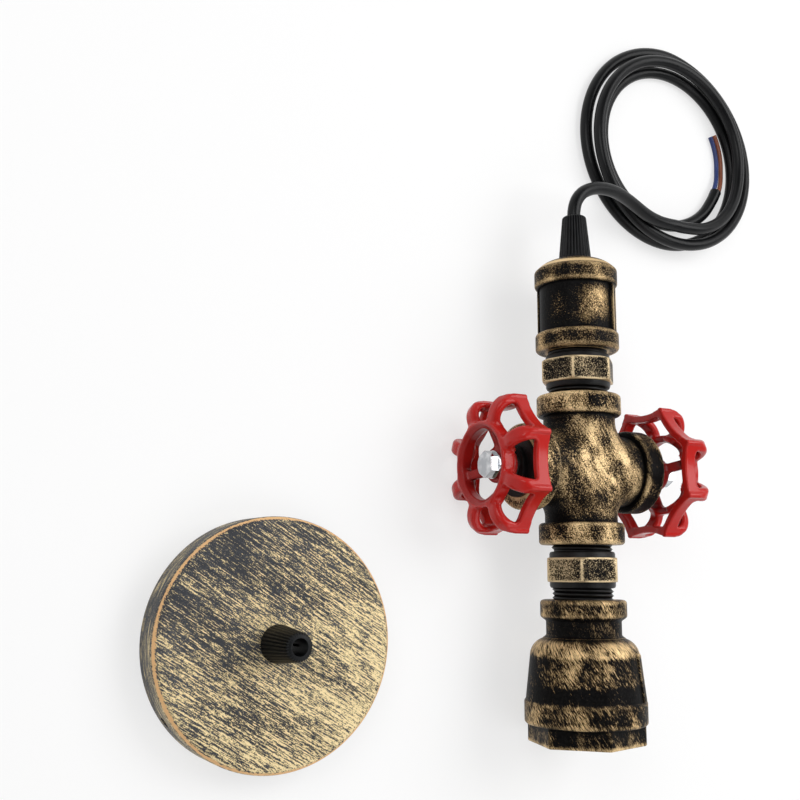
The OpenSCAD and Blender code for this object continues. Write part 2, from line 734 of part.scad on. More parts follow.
// Lamp holder inside the bell
module holder_plate() {
    on_lamp() color("#8d8f90") difference() {
        rod(mouth_d - 2 * loose, seat_x, holder_x);
        rod(tube_d + 2 * fit, seat_x - eps, holder_x + eps);
    }
}
module holder_tube() {
    on_lamp() color("#8d8f90") difference() {
        rod(tube_d, seat_x - nut_h - 2, holder_x + holder_floor / 2);
        rod(tube_bore_d, seat_x - nut_h - 2 - eps, holder_x + holder_floor / 2 + eps);
    }
}
module holder_nut() {
    on_lamp() color("#8d8f90") difference() {
        hex(nut_af, seat_x - nut_h, seat_x);
        rod(tube_d + 2 * fit, seat_x - nut_h - eps, seat_x + eps);
    }
}
module holder_body() {
    on_lamp() color("#eeeae0") difference() {
        bead(holder_d, holder_x, holder_top_x, 1.2);
        rod(shell_in_d + 2 * shell_t + 2 * fit, floor_x, holder_top_x + eps);
        rod(tube_d + 2 * fit, holder_x - eps, holder_x + holder_floor / 2 + fit);
        for (s = [-1, 1]) translate([0, s * wire_out, 0]) rod(core_d + 2 * loose, holder_x, floor_x + eps);
        for (s = [-1, 1]) translate([0, s * terminal_out, 0])
            rod(terminal_d + 2 * fit, floor_x - terminal_l - fit, floor_x + eps);
    }
}
module screw_shell() {
    on_lamp() color("#c9a14a") union() {
        difference() {
            rod(shell_in_d + 2 * shell_t, shell_x, shell_x + shell_l);
            rod(shell_in_d, shell_x - eps, shell_x + shell_l + eps);
        }
        intersection() {
            difference() {
                rod(shell_in_d + 2 * shell_t, floor_x, shell_x + 1);
                translate([-holder_d / 2, -shell_in_d / 2 - shell_t / 4, floor_x + shell_t])
                    cube([holder_d, holder_d, holder_l]);
                translate([-holder_d / 2, -wire_gap, floor_x - eps]) cube([holder_d, holder_d, holder_l]);
                translate([0, -terminal_out, 0]) rod(terminal_d + 2 * fit, floor_x - eps, floor_x + 2);
            }
            translate([-tab_w / 2, -holder_d / 2, floor_x]) cube([tab_w, holder_d, holder_l]);
        }
    }
}
module centre_contact() {
    end = terminal_out + terminal_head_d / 2 + contact_t + loose;
    on_lamp() color("#c9a14a") difference() {
        translate([-tab_w / 2, 0, floor_x]) rotate([90, 0, 90]) linear_extrude(tab_w)
            polygon([[wire_gap, 0], [end, 0], [end, contact_h], [-tab_w / 2, contact_h],
                [-tab_w / 2, contact_h - contact_t], [end - contact_t, contact_h - contact_t],
                [end - contact_t, contact_t], [wire_gap, contact_t]]);
        translate([0, terminal_out, 0]) rod(terminal_d + 2 * fit, floor_x - eps, floor_x + contact_t + eps);
    }
}
module terminal_screws() {
    head_x = floor_x + max(contact_t, shell_t);
    on_lamp() color("#c9ccd0") for (s = [-1, 1]) translate([0, s * terminal_out, 0]) union() {
        rod(terminal_d, floor_x - terminal_l, head_x + eps);
        rod(terminal_head_d, head_x, head_x + 1.4);
    }
}
module holder_wire(s) {
    on_lamp() translate([0, s * wire_out, 0]) rod(core_d, lead_points[0][0], floor_x);
}
module brown_wire() {
    color("#7a3f22") holder_wire(1);
}
module blue_wire() {
    color("#2a3f8f") holder_wire(-1);
}

// Ceiling canopy with its cord grip, and the bracket that it covers
module canopy_profile(d, h, r) {
    translate([0, -eps]) square([d / 2, h - r + eps]);
    square([d / 2 - r, h]);
    translate([d / 2 - r, h - r]) circle(r);
}
module canopy_shell() {
    on_canopy() color("#3d3d3b") difference() {
        rotate_extrude() intersection() {
            canopy_profile(canopy_d, canopy_h, canopy_edge_r);
            square([canopy_d, canopy_h]);
        }
        rotate_extrude() intersection() {
            canopy_profile(2 * canopy_in_r, canopy_h - canopy_t, canopy_edge_r - canopy_t);
            translate([0, -eps]) square([canopy_d, canopy_h]);
        }
        rod(tube_d + 2 * fit, 0, canopy_h + eps);
        rotate(rim_hole_turn) translate([0, 0, rim_hole_h]) rotate([0, 90, 0])
            cylinder(d = rim_hole_d, h = canopy_d + 2 * eps, center = true);
    }
}
module canopy_grip_stem() {
    on_canopy() translate([0, 0, canopy_h]) color("#1b1b1c") grip_stem(canopy_t + nut_h + 2);
}
module canopy_grip_cap() {
    on_canopy() translate([0, 0, canopy_h]) color("#1b1b1c") grip_cap();
}
module canopy_nut() {
    on_canopy() color("#8d8f90") difference() {
        hex(nut_af, canopy_h - canopy_t - nut_h, canopy_h - canopy_t);
        rod(tube_d + 2 * fit, canopy_h - canopy_t - nut_h - eps, canopy_h);
    }
}
module canopy_bracket() {
    tab_r = canopy_in_r - 2 * loose;
    half_l = sqrt(tab_r * tab_r - bracket_w * bracket_w / 4);
    on_canopy() rotate(rim_hole_turn) color("#9a9c9d") difference() {
        union() {
            translate([-half_l, -bracket_w / 2, 0]) cube([2 * half_l, bracket_w, bracket_t]);
            for (s = [0, 180]) rotate(s)
                translate([half_l - bracket_t, -bracket_w / 2, 0])
                    cube([bracket_t, bracket_w, bracket_tab_h]);
        }
        for (s = [-1, 1]) translate([s * fix_pitch / 2, 0, 0]) rod(fix_hole_d, -eps, bracket_t + eps);
        rod(tube_d, -eps, bracket_t + eps);
        translate([0, 0, rim_hole_h]) rotate([0, 90, 0])
            cylinder(d = rim_hole_d - 1.3, h = 2 * half_l + 2, center = true);
    }
}

// Cord: the free lead, the loose coil and the bared cores at its end
module cord_lead() {
    on_floor() color("#161617") tube(lead_points, cord_d, 8);
}
module cord_coil() {
    on_floor() color("#161617") tube(coil_points, cord_d, 6);
}
module core_end(side) {
    last = len(coil_points) - 1;
    t = heading(coil_points, last);
    u = [-t[1], t[0], 0];
    low = core_d / 2 + loose - coil_low_z;
    on_floor() tube([for (k = [0 : 6])
        let (a = run + (core_len - run) * k / 6, w = a / core_bend_r * 180 / PI,
            r = core_bend_r - side * wire_out)
        coil_points[last] + u * core_bend_r + t * r * sin(w) - u * r * cos(w)
            + [0, 0, low * ease(min(a / core_land, 1))]], core_d, 8);
}
module brown_core_end() {
    color("#a9532f") core_end(-1);
}
module blue_core_end() {
    color("#2a3f8f") core_end(1);
}

bell_reducer();
lower_nipple();
pipe_cross();
upper_nipple();
coupling();
top_bushing();
lamp_grip_stem();
lamp_grip_cap();
port_plug_near();
port_plug_far();
spindle_near();
spindle_far();
handwheel_near();
handwheel_far();
wheel_washers();
wheel_screws();
holder_plate();
holder_tube();
holder_nut();
holder_body();
screw_shell();
centre_contact();
terminal_screws();
brown_wire();
blue_wire();
canopy_shell();
canopy_grip_stem();
canopy_grip_cap();
canopy_nut();
canopy_bracket();
cord_lead();
cord_coil();
brown_core_end();
blue_core_end();
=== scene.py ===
"""Looks for a pendant light of pipe fittings, laid on a pale floor with its cord and its canopy.

Sizes are in millimetres, and places are measured from the middle of the pipe cross, with heights
above the floor. Meshes are in metres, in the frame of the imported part.
"""

import logging
import math
from dataclasses import dataclass, field
from enum import Enum
from typing import Any, Callable, Sequence

import bpy
import numpy as np
from mathutils import Matrix, Vector


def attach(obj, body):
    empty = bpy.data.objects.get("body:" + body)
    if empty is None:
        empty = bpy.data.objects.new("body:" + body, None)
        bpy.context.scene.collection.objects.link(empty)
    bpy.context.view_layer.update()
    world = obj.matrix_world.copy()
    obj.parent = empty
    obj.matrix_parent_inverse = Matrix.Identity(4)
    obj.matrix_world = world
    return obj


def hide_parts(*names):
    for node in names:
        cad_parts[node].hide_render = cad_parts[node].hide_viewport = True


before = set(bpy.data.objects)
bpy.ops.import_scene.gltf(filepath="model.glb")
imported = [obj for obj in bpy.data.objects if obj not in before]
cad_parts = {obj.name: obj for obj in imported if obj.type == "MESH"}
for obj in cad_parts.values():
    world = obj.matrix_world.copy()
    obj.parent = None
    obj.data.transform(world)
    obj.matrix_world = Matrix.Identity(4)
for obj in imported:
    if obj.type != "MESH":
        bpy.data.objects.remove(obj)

LOG = logging.getLogger("pendant")
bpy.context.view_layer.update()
MM = 0.001

Colour = tuple[float, float, float]
Spot = tuple[float, float, float]
Points = np.ndarray

WHITE: Colour = (1.0, 1.0, 1.0)


class Side(Enum):
    """The two handwheels, by the side of the lamp that they stand on."""

    NEAR = "near"
    FAR = "far"


class Place(Enum):
    """Where a cord grip sits."""

    LAMP = "lamp"
    CANOPY = "canopy"


class Stroke(Enum):
    """Directions of the dry brush that laid the gold, as turns about X, Y and Z in degrees."""

    SLANTED = (0.0, -7.0, 31.0)
    CROSSWISE = (0.0, 0.0, 78.0)
    CANOPY = (0.0, 0.0, 58.0)
    AROUND = (0.0, 0.0, 0.0)


# ----------------------------------------------------------------------------------------------
# Node trees


class Tone:
    """A shader value with arithmetic: an expression on tones adds the Math nodes that it needs."""

    def __init__(self, board: "Board", socket: bpy.types.NodeSocket) -> None:
        """Wraps a socket.

        Args:
            board: The board that the socket's node belongs to.
            socket: The output socket that carries the value.
        """
        self.board = board
        self.socket = socket

    def _math(self, operation: str, a: Any, b: Any) -> "Tone":
        """Adds one Math node.

        Args:
            operation: The node's operation.
            a: The first value, a tone or a number.
            b: The second value, a tone or a number.

        Returns:
            The node's result.
        """
        node = self.board.node("ShaderNodeMath", {"operation": operation}, {0: a, 1: b})
        return Tone(self.board, node.outputs[0])

    def __add__(self, other: Any) -> "Tone":
        """Sum."""
        return self._math("ADD", self, other)

    def __radd__(self, other: Any) -> "Tone":
        """Sum, with a number first."""
        return self._math("ADD", other, self)

    def __sub__(self, other: Any) -> "Tone":
        """Difference."""
        return self._math("SUBTRACT", self, other)

    def __rsub__(self, other: Any) -> "Tone":
        """Difference, with a number first."""
        return self._math("SUBTRACT", other, self)

    def __mul__(self, other: Any) -> "Tone":
        """Product."""
        return self._math("MULTIPLY", self, other)

    def __rmul__(self, other: Any) -> "Tone":
        """Product, with a number first."""
        return self._math("MULTIPLY", other, self)

    def __pow__(self, other: Any) -> "Tone":
        """Power."""
        return self._math("POWER", self, other)

    def most(self, other: Any) -> "Tone":
        """The larger of two values."""
        return self._math("MAXIMUM", self, other)

    def soft(self, low: float, high: float) -> "Tone":
        """A smooth step.

        Args:
            low: The value that gives 0.
            high: The value that gives 1.

        Returns:
            The stepped value, from 0 to 1.
        """
        node = self.board.node(
            "ShaderNodeMapRange",
            {"interpolation_type": "SMOOTHSTEP", "clamp": True},
            {"Value": self, "From Min": low, "From Max": high, "To Min": 0.0, "To Max": 1.0},
        )
        return Tone(self.board, node.outputs["Result"])


class Board:
    """A node tree that is built from nothing, with one method for all of its nodes."""

    def __init__(self, tree: bpy.types.NodeTree) -> None:
        """Takes a tree and clears it."""
        self.tree = tree
        tree.nodes.clear()

    def fill(self, node: bpy.types.Node, sockets: dict[str | int, Any]) -> None:
        """Sets or links a node's inputs.

        Args:
            node: The node.
            sockets: Values, tones or sockets for its inputs, by name or place.
        """
        for key, value in sockets.items():
            entry = node.inputs[key]
            if isinstance(value, Tone):
                value = value.socket
            if isinstance(value, bpy.types.NodeSocket):
                self.tree.links.new(value, entry)
            elif isinstance(value, tuple) and entry.type == "RGBA":
                entry.default_value = (*value, 1.0)
            else:
                entry.default_value = value

    def node(self, kind: str, settings: dict[str, Any] | None = None,
             sockets: dict[str | int, Any] | None = None) -> bpy.types.Node:
        """Adds a node, sets its settings first and then its sockets.

        Args:
            kind: The node's type.
            settings: Its own settings.
            sockets: Values, tones or sockets for its inputs, by name or place.

        Returns:
            The node.
        """
        node = self.tree.nodes.new(kind)
        for name, value in (settings or {}).items():
            setattr(node, name, value)
        self.fill(node, sockets or {})
        return node

    def seen(self) -> Tone:
        """Tells the rays that show a surface from those that light it.

        Returns:
            1 for camera, glossy and transmission rays, and 0 for the others.
        """
        rays = self.node("ShaderNodeLightPath").outputs
        shown = Tone(self, rays["Is Camera Ray"])
        for name in ("Is Glossy Ray", "Is Transmission Ray"):
            shown = shown.most(rays[name])
        return shown


class Sheet(Board):
    """The node tree of one finish, around one Principled shader."""

    AO_SAMPLES = 6

    def __init__(self, name: str) -> None:
        """Makes an empty material.

        Args:
            name: The material's name.
        """
        self.material = bpy.data.materials.new(name)
        self.material.use_nodes = True
        super().__init__(self.material.node_tree)
        self.shader = self.node("ShaderNodeBsdfPrincipled")
        self.output = self.node("ShaderNodeOutputMaterial", None,
                                {"Surface": self.shader.outputs[0]})
        self.where = self.node("ShaderNodeTexCoord").outputs["Object"]

    def brushed(self, stroke: Stroke, stretch: float,
                where: bpy.types.NodeSocket | None = None) -> bpy.types.NodeSocket:
        """Coordinates that are drawn out along a brush stroke.

        Args:
            stroke: The stroke's direction.
            stretch: How many times longer the pattern is along it.
            where: Coordinates, or the piece's own.

        Returns:
            The stretched coordinates.
        """
        turn = tuple(math.radians(a) for a in stroke.value)
        wide = stretch if stroke is Stroke.AROUND else 1.0
        node = self.node("ShaderNodeMapping", {"vector_type": "TEXTURE"}, {
            "Vector": where or self.where, "Rotation": turn, "Scale": (stretch, wide, 1.0)})
        return node.outputs["Vector"]

    def noise(self, scale: float, detail: float = 3.0, rough: float = 0.55,
              where: bpy.types.NodeSocket | None = None) -> Tone:
        """A noise value from 0 to 1.

        Args:
            scale: Features per metre.
            detail: Octaves.
            rough: How much the finer octaves count.
            where: Coordinates, or the piece's own.

        Returns:
            The noise.
        """
        node = self.node("ShaderNodeTexNoise", {"noise_dimensions": "3D"}, {
            "Vector": where or self.where, "Scale": scale, "Detail": detail, "Roughness": rough})
        return Tone(self, node.outputs["Fac"])

    def pits(self, scale: float) -> Tone:
        """Distance to the nearest of many scattered points, for grains and pits.

        Args:
            scale: Points per metre.

        Returns:
            The distance, from 0 at a point.
        """
        node = self.node("ShaderNodeTexVoronoi", None, {"Vector": self.where, "Scale": scale})
        return Tone(self, node.outputs["Distance"])

    def openness(self, reach: float, inside: bool) -> Tone:
        """How open the surface is to itself within a reach.

        Args:
            reach: The reach in metres.
            inside: True to look into the solid, which finds its outer edges.

        Returns:
            1 where nothing is near, and less at edges or in hollows.
        """
        settings = {"samples": self.AO_SAMPLES, "inside": inside, "only_local": True}
        node = self.node("ShaderNodeAmbientOcclusion", settings, {"Distance": reach})
        return Tone(self, node.outputs["AO"])

    def wrapped(self) -> bpy.types.NodeSocket:
        """Coordinates along a round piece and round it, which its mesh carries."""
        return self.node("ShaderNodeAttribute", {"attribute_name": "wrap"}).outputs["Vector"]

    def attribute(self, name: str) -> Tone:
        """A value that the piece's mesh carries at its points."""
        node = self.node("ShaderNodeAttribute", {"attribute_name": name})
        return Tone(self, node.outputs["Fac"])

    def away(self, place: Spot) -> Tone:
        """The distance from a place.

        Args:
            place: The place in metres.

        Returns:
            The distance in metres.
        """
        node = self.node("ShaderNodeVectorMath", {"operation": "DISTANCE"},
                         {0: self.where, 1: place})
        return Tone(self, node.outputs["Value"])

    def axis(self, index: int) -> Tone:
        """One of the piece's coordinates, in metres."""
        return Tone(self, self.node("ShaderNodeSeparateXYZ", None, {0: self.where}).outputs[index])

    def mix(self, share: Tone, a: Any, b: Any) -> bpy.types.NodeSocket:
        """A colour between two colours.

        Args:
            share: 0 for the first, 1 for the second.
            a: The first colour.
            b: The second colour.

        Returns:
            The mixed colour.
        """
        node = self.node("ShaderNodeMix", {"data_type": "RGBA"}, {0: share, 6: a, 7: b})
        return node.outputs[2]

    def relief(self, height: Tone, depth: float, strength: float) -> bpy.types.NodeSocket:
        """A bumped normal.

        Args:
            height: The height, from 0 to 1.
            depth: The depth of the relief in metres.
            strength: How much of it shows.

        Returns:
            The normal.
        """
        node = self.node("ShaderNodeBump", None,
                         {"Height": height, "Distance": depth, "Strength": strength})
        return node.outputs["Normal"]

    def finish(self, **sockets: Any) -> bpy.types.Material:
        """Sets the shader's inputs.

        Args:
            **sockets: Values or links by the input's name, with _ for a space.

        Returns:
            The finished material.
        """
        self.fill(self.shader, {name.replace("_", " ").title().replace("Ior", "IOR"): value
                                for name, value in sockets.items()})
        return self.material


# ----------------------------------------------------------------------------------------------
# Finishes


@dataclass(frozen=True)
class Zone:
    """A stretch along an axis, in metres, where the gold lies thicker, or thinner below zero."""

    start: float
    end: float
    gain: float
    axis: int = 0
    fade: float = 1.2 * MM


@dataclass(frozen=True)
class Dab:
    """A place, in metres, round which the gold lies thicker, or thinner below zero."""

    place: Spot
    reach: float
    gain: float


@dataclass(frozen=True)
class AntiqueFinish:
    """Black lacquer with gold dabbed over it, thick on open faces and edges, thin in hollows."""

    name: str
    stroke: Stroke = Stroke.SLANTED
    black: Colour = (0.0019, 0.0017, 0.0018)
    soot: Colour = (0.0070, 0.0066, 0.0064)
    gold: Colour = (0.30, 0.195, 0.088)
    pale: Colour = (0.80, 0.575, 0.300)
    gold_from: tuple[float, float] = (-0.02, 0.12)
    pale_from: tuple[float, float] = (0.05, 0.35)
    cover: float = 0.02
    edge_gain: float = 1.25
    edge_reach: float = 2.0 * MM
    border_gain: float = 0.45
    hollow_loss: float = 1.5
    hollow_reach: float = 11.0 * MM
    hatch: float = 0.60
    hatch_scale: float = 1700.0
    hatch_long: float = 15.0
    wrapped: bool = False
    speck: float = 1.05
    speck_scale: float = 2000.0
    patch: float = 1.20
    patch_scale: float = 105.0
    patch_long: float = 1.8
    cast_scale: float = 900.0
    grain: float = 0.22 * MM
    shine: float = 0.05
    zones: tuple[Zone, ...] = ()
    dabs: tuple[Dab, ...] = ()

    def _level(self, sheet: Sheet) -> Tone:
        """How much gold lies where: it shows above zero.

        Args:
            sheet: The finish's sheet.

        Returns:
            The level.
        """
        speck = sheet.noise(self.speck_scale, 2.0, 0.62) - 0.5
        where = sheet.wrapped() if self.wrapped else None
        strokes = sheet.brushed(self.stroke, self.hatch_long, where)
        hatch = sheet.noise(self.hatch_scale, 2.0, 0.5, strokes) - 0.5
        broad = sheet.brushed(self.stroke, self.patch_long)
        patch = sheet.noise(self.patch_scale, 2.0, 0.5, broad) - 0.5
        edge = (1.0 - sheet.openness(self.edge_reach, True)
                + self.border_gain * sheet.attribute("border"))
        hollow = 1.0 - sheet.openness(self.hollow_reach, False)
        level = (self.speck * speck + self.hatch * hatch + self.patch * patch
                 + self.edge_gain * edge - self.hollow_loss * hollow + self.cover)
        for zone in self.zones:
            along = sheet.axis(zone.axis)
            inside = (along.soft(zone.start - zone.fade, zone.start + zone.fade)
                      - along.soft(zone.end - zone.fade, zone.end + zone.fade))
            level = level + zone.gain * inside
        for dab in self.dabs:
            near = 1.0 - sheet.away(dab.place).soft(0.2 * dab.reach, dab.reach)
            level = level + dab.gain * near
        return level

    def material(self) -> bpy.types.Material:
        """Builds the finish.

        Returns:
            The material.
        """
        sheet = Sheet(self.name)
        level = self._level(sheet)
        gold = level.soft(*self.gold_from)
        tint = sheet.mix(level.soft(*self.pale_from), self.gold, self.pale)
        cast = sheet.noise(self.cast_scale, 4.0, 0.65)
        soot = sheet.mix(cast.soft(0.40, 0.68), self.black, self.soot)
        height = 0.75 * cast + 0.30 * sheet.pits(self.cast_scale) + 0.20 * gold
        return sheet.finish(
            base_color=sheet.mix(gold, soot, tint),
            metallic=0.40 * gold,
            roughness=0.40 + 0.22 * (cast - 0.4) - 0.04 * gold,
            specular_ior_level=self.shine,
            normal=sheet.relief(height, self.grain, 0.7),
        )


@dataclass(frozen=True)
class CanopyFinish:
    """Slate lacquer on the spun canopy, with gold in fine strokes and a rubbed edge."""

    name: str
    middle: tuple[float, float] = (70.0 * MM, -70.8 * MM)
    radius: float = 48.5 * MM
    height: float = 17.5 * MM
    edge_r: float = 3.0 * MM
    dark: Colour = (0.040, 0.042, 0.048)
    slate: Colour = (0.086, 0.090, 0.101)
    gold: Colour = (0.36, 0.285, 0.145)
    pale: Colour = (0.86, 0.700, 0.400)
    rubbed: Colour = (0.78, 0.480, 0.230)
    speck_scale: float = 2300.0
    dash_scale: float = 2500.0
    line_scale: float = 1900.0
    patch_scale: float = 45.0
    cast_scale: float = 1500.0
    cloud_scale: float = 600.0
    grain: float = 0.05 * MM
    lean: float = 2.6

    def material(self) -> bpy.types.Material:
        """Builds the finish.

        Returns:
            The material.
        """
        sheet = Sheet(self.name)
        x, y = sheet.axis(0) - self.middle[0], sheet.axis(1) - self.middle[1]
        z = sheet.axis(2)
        away = (x * x + y * y) ** 0.5
        speck = sheet.noise(self.speck_scale, 2.0, 0.6) - 0.5
        dashes = sheet.noise(self.dash_scale, 2.0, 0.5, sheet.brushed(Stroke.CANOPY, 4.0)) - 0.5
        lines = sheet.noise(self.line_scale, 3.0, 0.6, sheet.brushed(Stroke.CANOPY, 18.0)) - 0.5
        turned = sheet.noise(self.line_scale, 3.0, 0.6, sheet.brushed(Stroke.AROUND, 16.0)) - 0.5
        patch = sheet.noise(self.patch_scale, 2.0, 0.5, sheet.brushed(Stroke.CANOPY, 2.0)) - 0.5
        lean = (0.75 * x + 0.45 * y) * self.lean
        top = 0.75 * speck + 0.95 * dashes + 1.35 * lines + 0.45 * patch + lean + 0.045
        wall = 0.55 * speck + 1.7 * turned + 0.7 * patch - 0.02
        upper = z.soft(self.height - 1.3 * self.edge_r, self.height - 0.7 * self.edge_r)
        level = wall + upper * (top - wall)
        gold = level.soft(-0.02, 0.16)
        tint = sheet.mix(level.soft(0.03, 0.28), self.gold, self.pale)
        base = sheet.mix((patch + speck + lines).soft(-0.22, 0.18), self.dark, self.slate)
        inner = self.radius - self.edge_r
        ring = (away.soft(inner + 0.8 * MM, inner + 2.6 * MM)
                * z.soft(self.height - 0.85 * self.edge_r, self.height - 0.45 * self.edge_r))
        worn = (ring + 1.1 * dashes + 0.9 * lines + 0.8 * patch).soft(0.50, 0.72)
        height = 0.5 * sheet.noise(self.cast_scale, 3.0, 0.6) + 0.5 * gold
        return sheet.finish(
            base_color=sheet.mix(worn, sheet.mix(gold, base, tint), self.rubbed),
            metallic=0.35 * gold,
            roughness=0.46 + 0.16 * sheet.noise(self.cloud_scale, 2.0) - 0.06 * worn,
            specular_ior_level=0.15,
            normal=sheet.relief(height, self.grain, 0.5),
        )


@dataclass(frozen=True)
class EnamelFinish:
    """Thick red enamel on a rough casting, with painted shade in its hollows and painted
    highlights on its edges.
    """

    name: str = "red_enamel_paint"
    red: Colour = (0.46, 0.0140, 0.0110)
    # deep: painted shade colour, the dark red put into hollows and over the rough-cast middle of
    # the wheel.
    deep: Colour = (0.080, 0.0015, 0.0015)
    # light: painted highlight colour, the pale red put along the casting's outer edges.
    light: Colour = (0.64, 0.042, 0.032)
    flow_scale: float = 160.0
    ripple_scale: float = 420.0
    sand_scale: float = 1500.0
    hollow_reach: float = 5.0 * MM
    edge_reach: float = 0.9 * MM
    depth: float = 0.35 * MM

    def material(self) -> bpy.types.Material:
        """Builds the finish.

        Returns:
            The material.
        """
        sheet = Sheet(self.name)
        flow = sheet.noise(self.flow_scale, 2.0)
        hollow = 1.0 - sheet.openness(self.hollow_reach, False)
        edge = 1.0 - sheet.openness(self.edge_reach, True)
        rough = sheet.attribute("rough_cast")
        # Painted shade: hollows, and a little of the rough-cast middle, turn the red towards the
        # deep colour.
        colour = sheet.mix((hollow + 0.30 * rough).soft(0.08, 0.62), self.red, self.deep)
        # Painted highlight: outer edges, varied by the flow noise, turn towards the light colour.
        colour = sheet.mix((edge + 0.6 * (flow - 0.5)).soft(0.18, 0.6), colour, self.light)
        sand = sheet.noise(self.sand_scale, 3.0, 0.6)
        height = 0.55 * flow + 0.05 * sheet.noise(self.ripple_scale, 2.0) + rough * 0.35 * sand
        return sheet.finish(
            base_color=colour,
            roughness=0.17 + 0.10 * flow + 0.16 * rough * sand,
            specular_ior_level=0.20,
            coat_weight=0.12,
            coat_roughness=0.06,
            normal=sheet.relief(height, self.depth, 0.55),
        )


@dataclass(frozen=True)
class MetalFinish:
    """Plated or bare metal with fine turning marks and handling scratches."""

    name: str
    colour: Colour
    worn: Colour
    rough: float = 0.16
    marks: float = 0.06 * MM
    mark_scale: float = 2400.0
    mark_long: float = 14.0
    cloud_scale: float = 260.0
    edge_reach: float = 0.4 * MM

    def material(self) -> bpy.types.Material:
        """Builds the finish.

        Returns:
            The material.
        """
        sheet = Sheet(self.name)
        cloud = sheet.noise(self.cloud_scale, 3.0)
        turned = sheet.brushed(Stroke.CROSSWISE, self.mark_long)
        marks = sheet.noise(self.mark_scale, 2.0, 0.5, turned)
        edge = 1.0 - sheet.openness(self.edge_reach, True)
        return sheet.finish(
            base_color=sheet.mix((cloud + 0.5 * edge).soft(0.4, 0.75), self.colour, self.worn),
            metallic=1.0,
            roughness=self.rough + 0.16 * (cloud - 0.4) + 0.06 * marks,
            normal=sheet.relief(marks, self.marks, 0.35),
        )


@dataclass(frozen=True)
class MouldedFinish:
    """Moulded plastic or rubber with a fine grain and dusty high spots."""

    name: str
    colour: Colour
    dusty: Colour
    rough: float = 0.5
    grain: float = 0.05 * MM
    scale: float = 2600.0
    cloud_scale: float = 220.0
    edge_reach: float = 0.5 * MM
    shine: float = 0.35

    def material(self) -> bpy.types.Material:
        """Builds the finish.

        Returns:
            The material.
        """
        sheet = Sheet(self.name)
        cloud = sheet.noise(self.cloud_scale, 3.0)
        grain = sheet.noise(self.scale, 3.0, 0.6)
        edge = 1.0 - sheet.openness(self.edge_reach, True)
        return sheet.finish(
            base_color=sheet.mix((0.8 * cloud + 0.7 * edge).soft(0.3, 0.95),
                                 self.colour, self.dusty),
            roughness=self.rough + 0.18 * (cloud - 0.5) + 0.08 * (grain - 0.5),
            specular_ior_level=self.shine,
            normal=sheet.relief(grain, self.grain, 0.5),
        )


@dataclass(frozen=True)
class JacketFinish:
    """Soft cord jacket: faint lengthwise drawing marks, in the cord's own UV, and a dull bloom."""

    name: str
    colour: Colour
    bloom: Colour
    rough: float = 0.42
    shine: float = 0.4
    draw: Spot = (26.0, 30.0, 1.0)
    cloud_scale: float = 120.0
    grain_scale: float = 3200.0
    grain: float = 0.05 * MM

    def material(self) -> bpy.types.Material:
        """Builds the finish.

        Returns:
            The material.
        """
        sheet = Sheet(self.name)
        along = sheet.node("ShaderNodeUVMap", {"uv_map": "run"}).outputs["UV"]
        drawn = sheet.node("ShaderNodeMapping", {"vector_type": "POINT"},
                           {"Vector": along, "Scale": self.draw}).outputs["Vector"]
        marks = sheet.noise(1.0, 3.0, 0.5, drawn)
        cloud = sheet.noise(self.cloud_scale, 3.0)
        grain = sheet.noise(self.grain_scale, 2.0)
        return sheet.finish(
            base_color=sheet.mix((0.6 * cloud + 0.5 * marks).soft(0.4, 0.75),
                                 self.colour, self.bloom),
            roughness=self.rough + 0.16 * (cloud - 0.5) + 0.12 * (marks - 0.5),
            specular_ior_level=self.shine,
            normal=sheet.relief(0.7 * marks + 0.3 * grain, self.grain, 0.45),
        )


@dataclass(frozen=True)
class GlazeFinish:
    """White glazed ceramic with pinholes and a faint warm cloud."""

    name: str = "white_glaze"
    white: Colour = (0.80, 0.775, 0.70)
    warm: Colour = (0.70, 0.655, 0.56)
    cloud_scale: float = 140.0
    pin_scale: float = 420.0
    depth: float = 0.08 * MM

    def material(self) -> bpy.types.Material:
        """Builds the finish.

        Returns:
            The material.
        """
        sheet = Sheet(self.name)
        cloud = sheet.noise(self.cloud_scale, 3.0)
        pin = sheet.pits(self.pin_scale).soft(0.02, 0.12)
        return sheet.finish(
            base_color=sheet.mix((cloud + 0.3 * (1.0 - pin)).soft(0.4, 0.9),
                                 self.white, self.warm),
            roughness=0.16 + 0.2 * (cloud - 0.4),
            normal=sheet.relief(0.6 * pin + 0.4 * cloud, self.depth, 0.4),
        )


@dataclass(frozen=True)
class FloorFinish:
    """A white paper sweep that keeps a soft shadow under the part."""

    name: str = "paper_sweep"
    white: Colour = (0.90, 0.90, 0.90)
    faint: float = 0.985
    fibre_scale: float = 900.0
    lift: float = 0.62
    plain: float = 0.42

    def material(self) -> bpy.types.Material:
        """Builds the finish: where it is seen it is lifted to white, wholly so far out.

        Returns:
            The material.
        """
        sheet = Sheet(self.name)
        fibre = sheet.noise(self.fibre_scale, 2.0)
        shade = tuple(self.faint * c for c in self.white)
        sheet.finish(base_color=sheet.mix(fibre, self.white, shade), roughness=0.9)
        glow = sheet.node("ShaderNodeEmission", None, {"Color": WHITE, "Strength": 1.0})
        far = sheet.away((0.0, 0.0, 0.0)).soft(self.plain, 3.0 * self.plain)
        lift = self.lift + (1.0 - self.lift) * far
        both = sheet.node("ShaderNodeMixShader", None, {
            0: lift * sheet.seen(), 1: sheet.shader.outputs[0], 2: glow.outputs[0]})
        sheet.fill(sheet.output, {"Surface": both.outputs[0]})
        return sheet.material


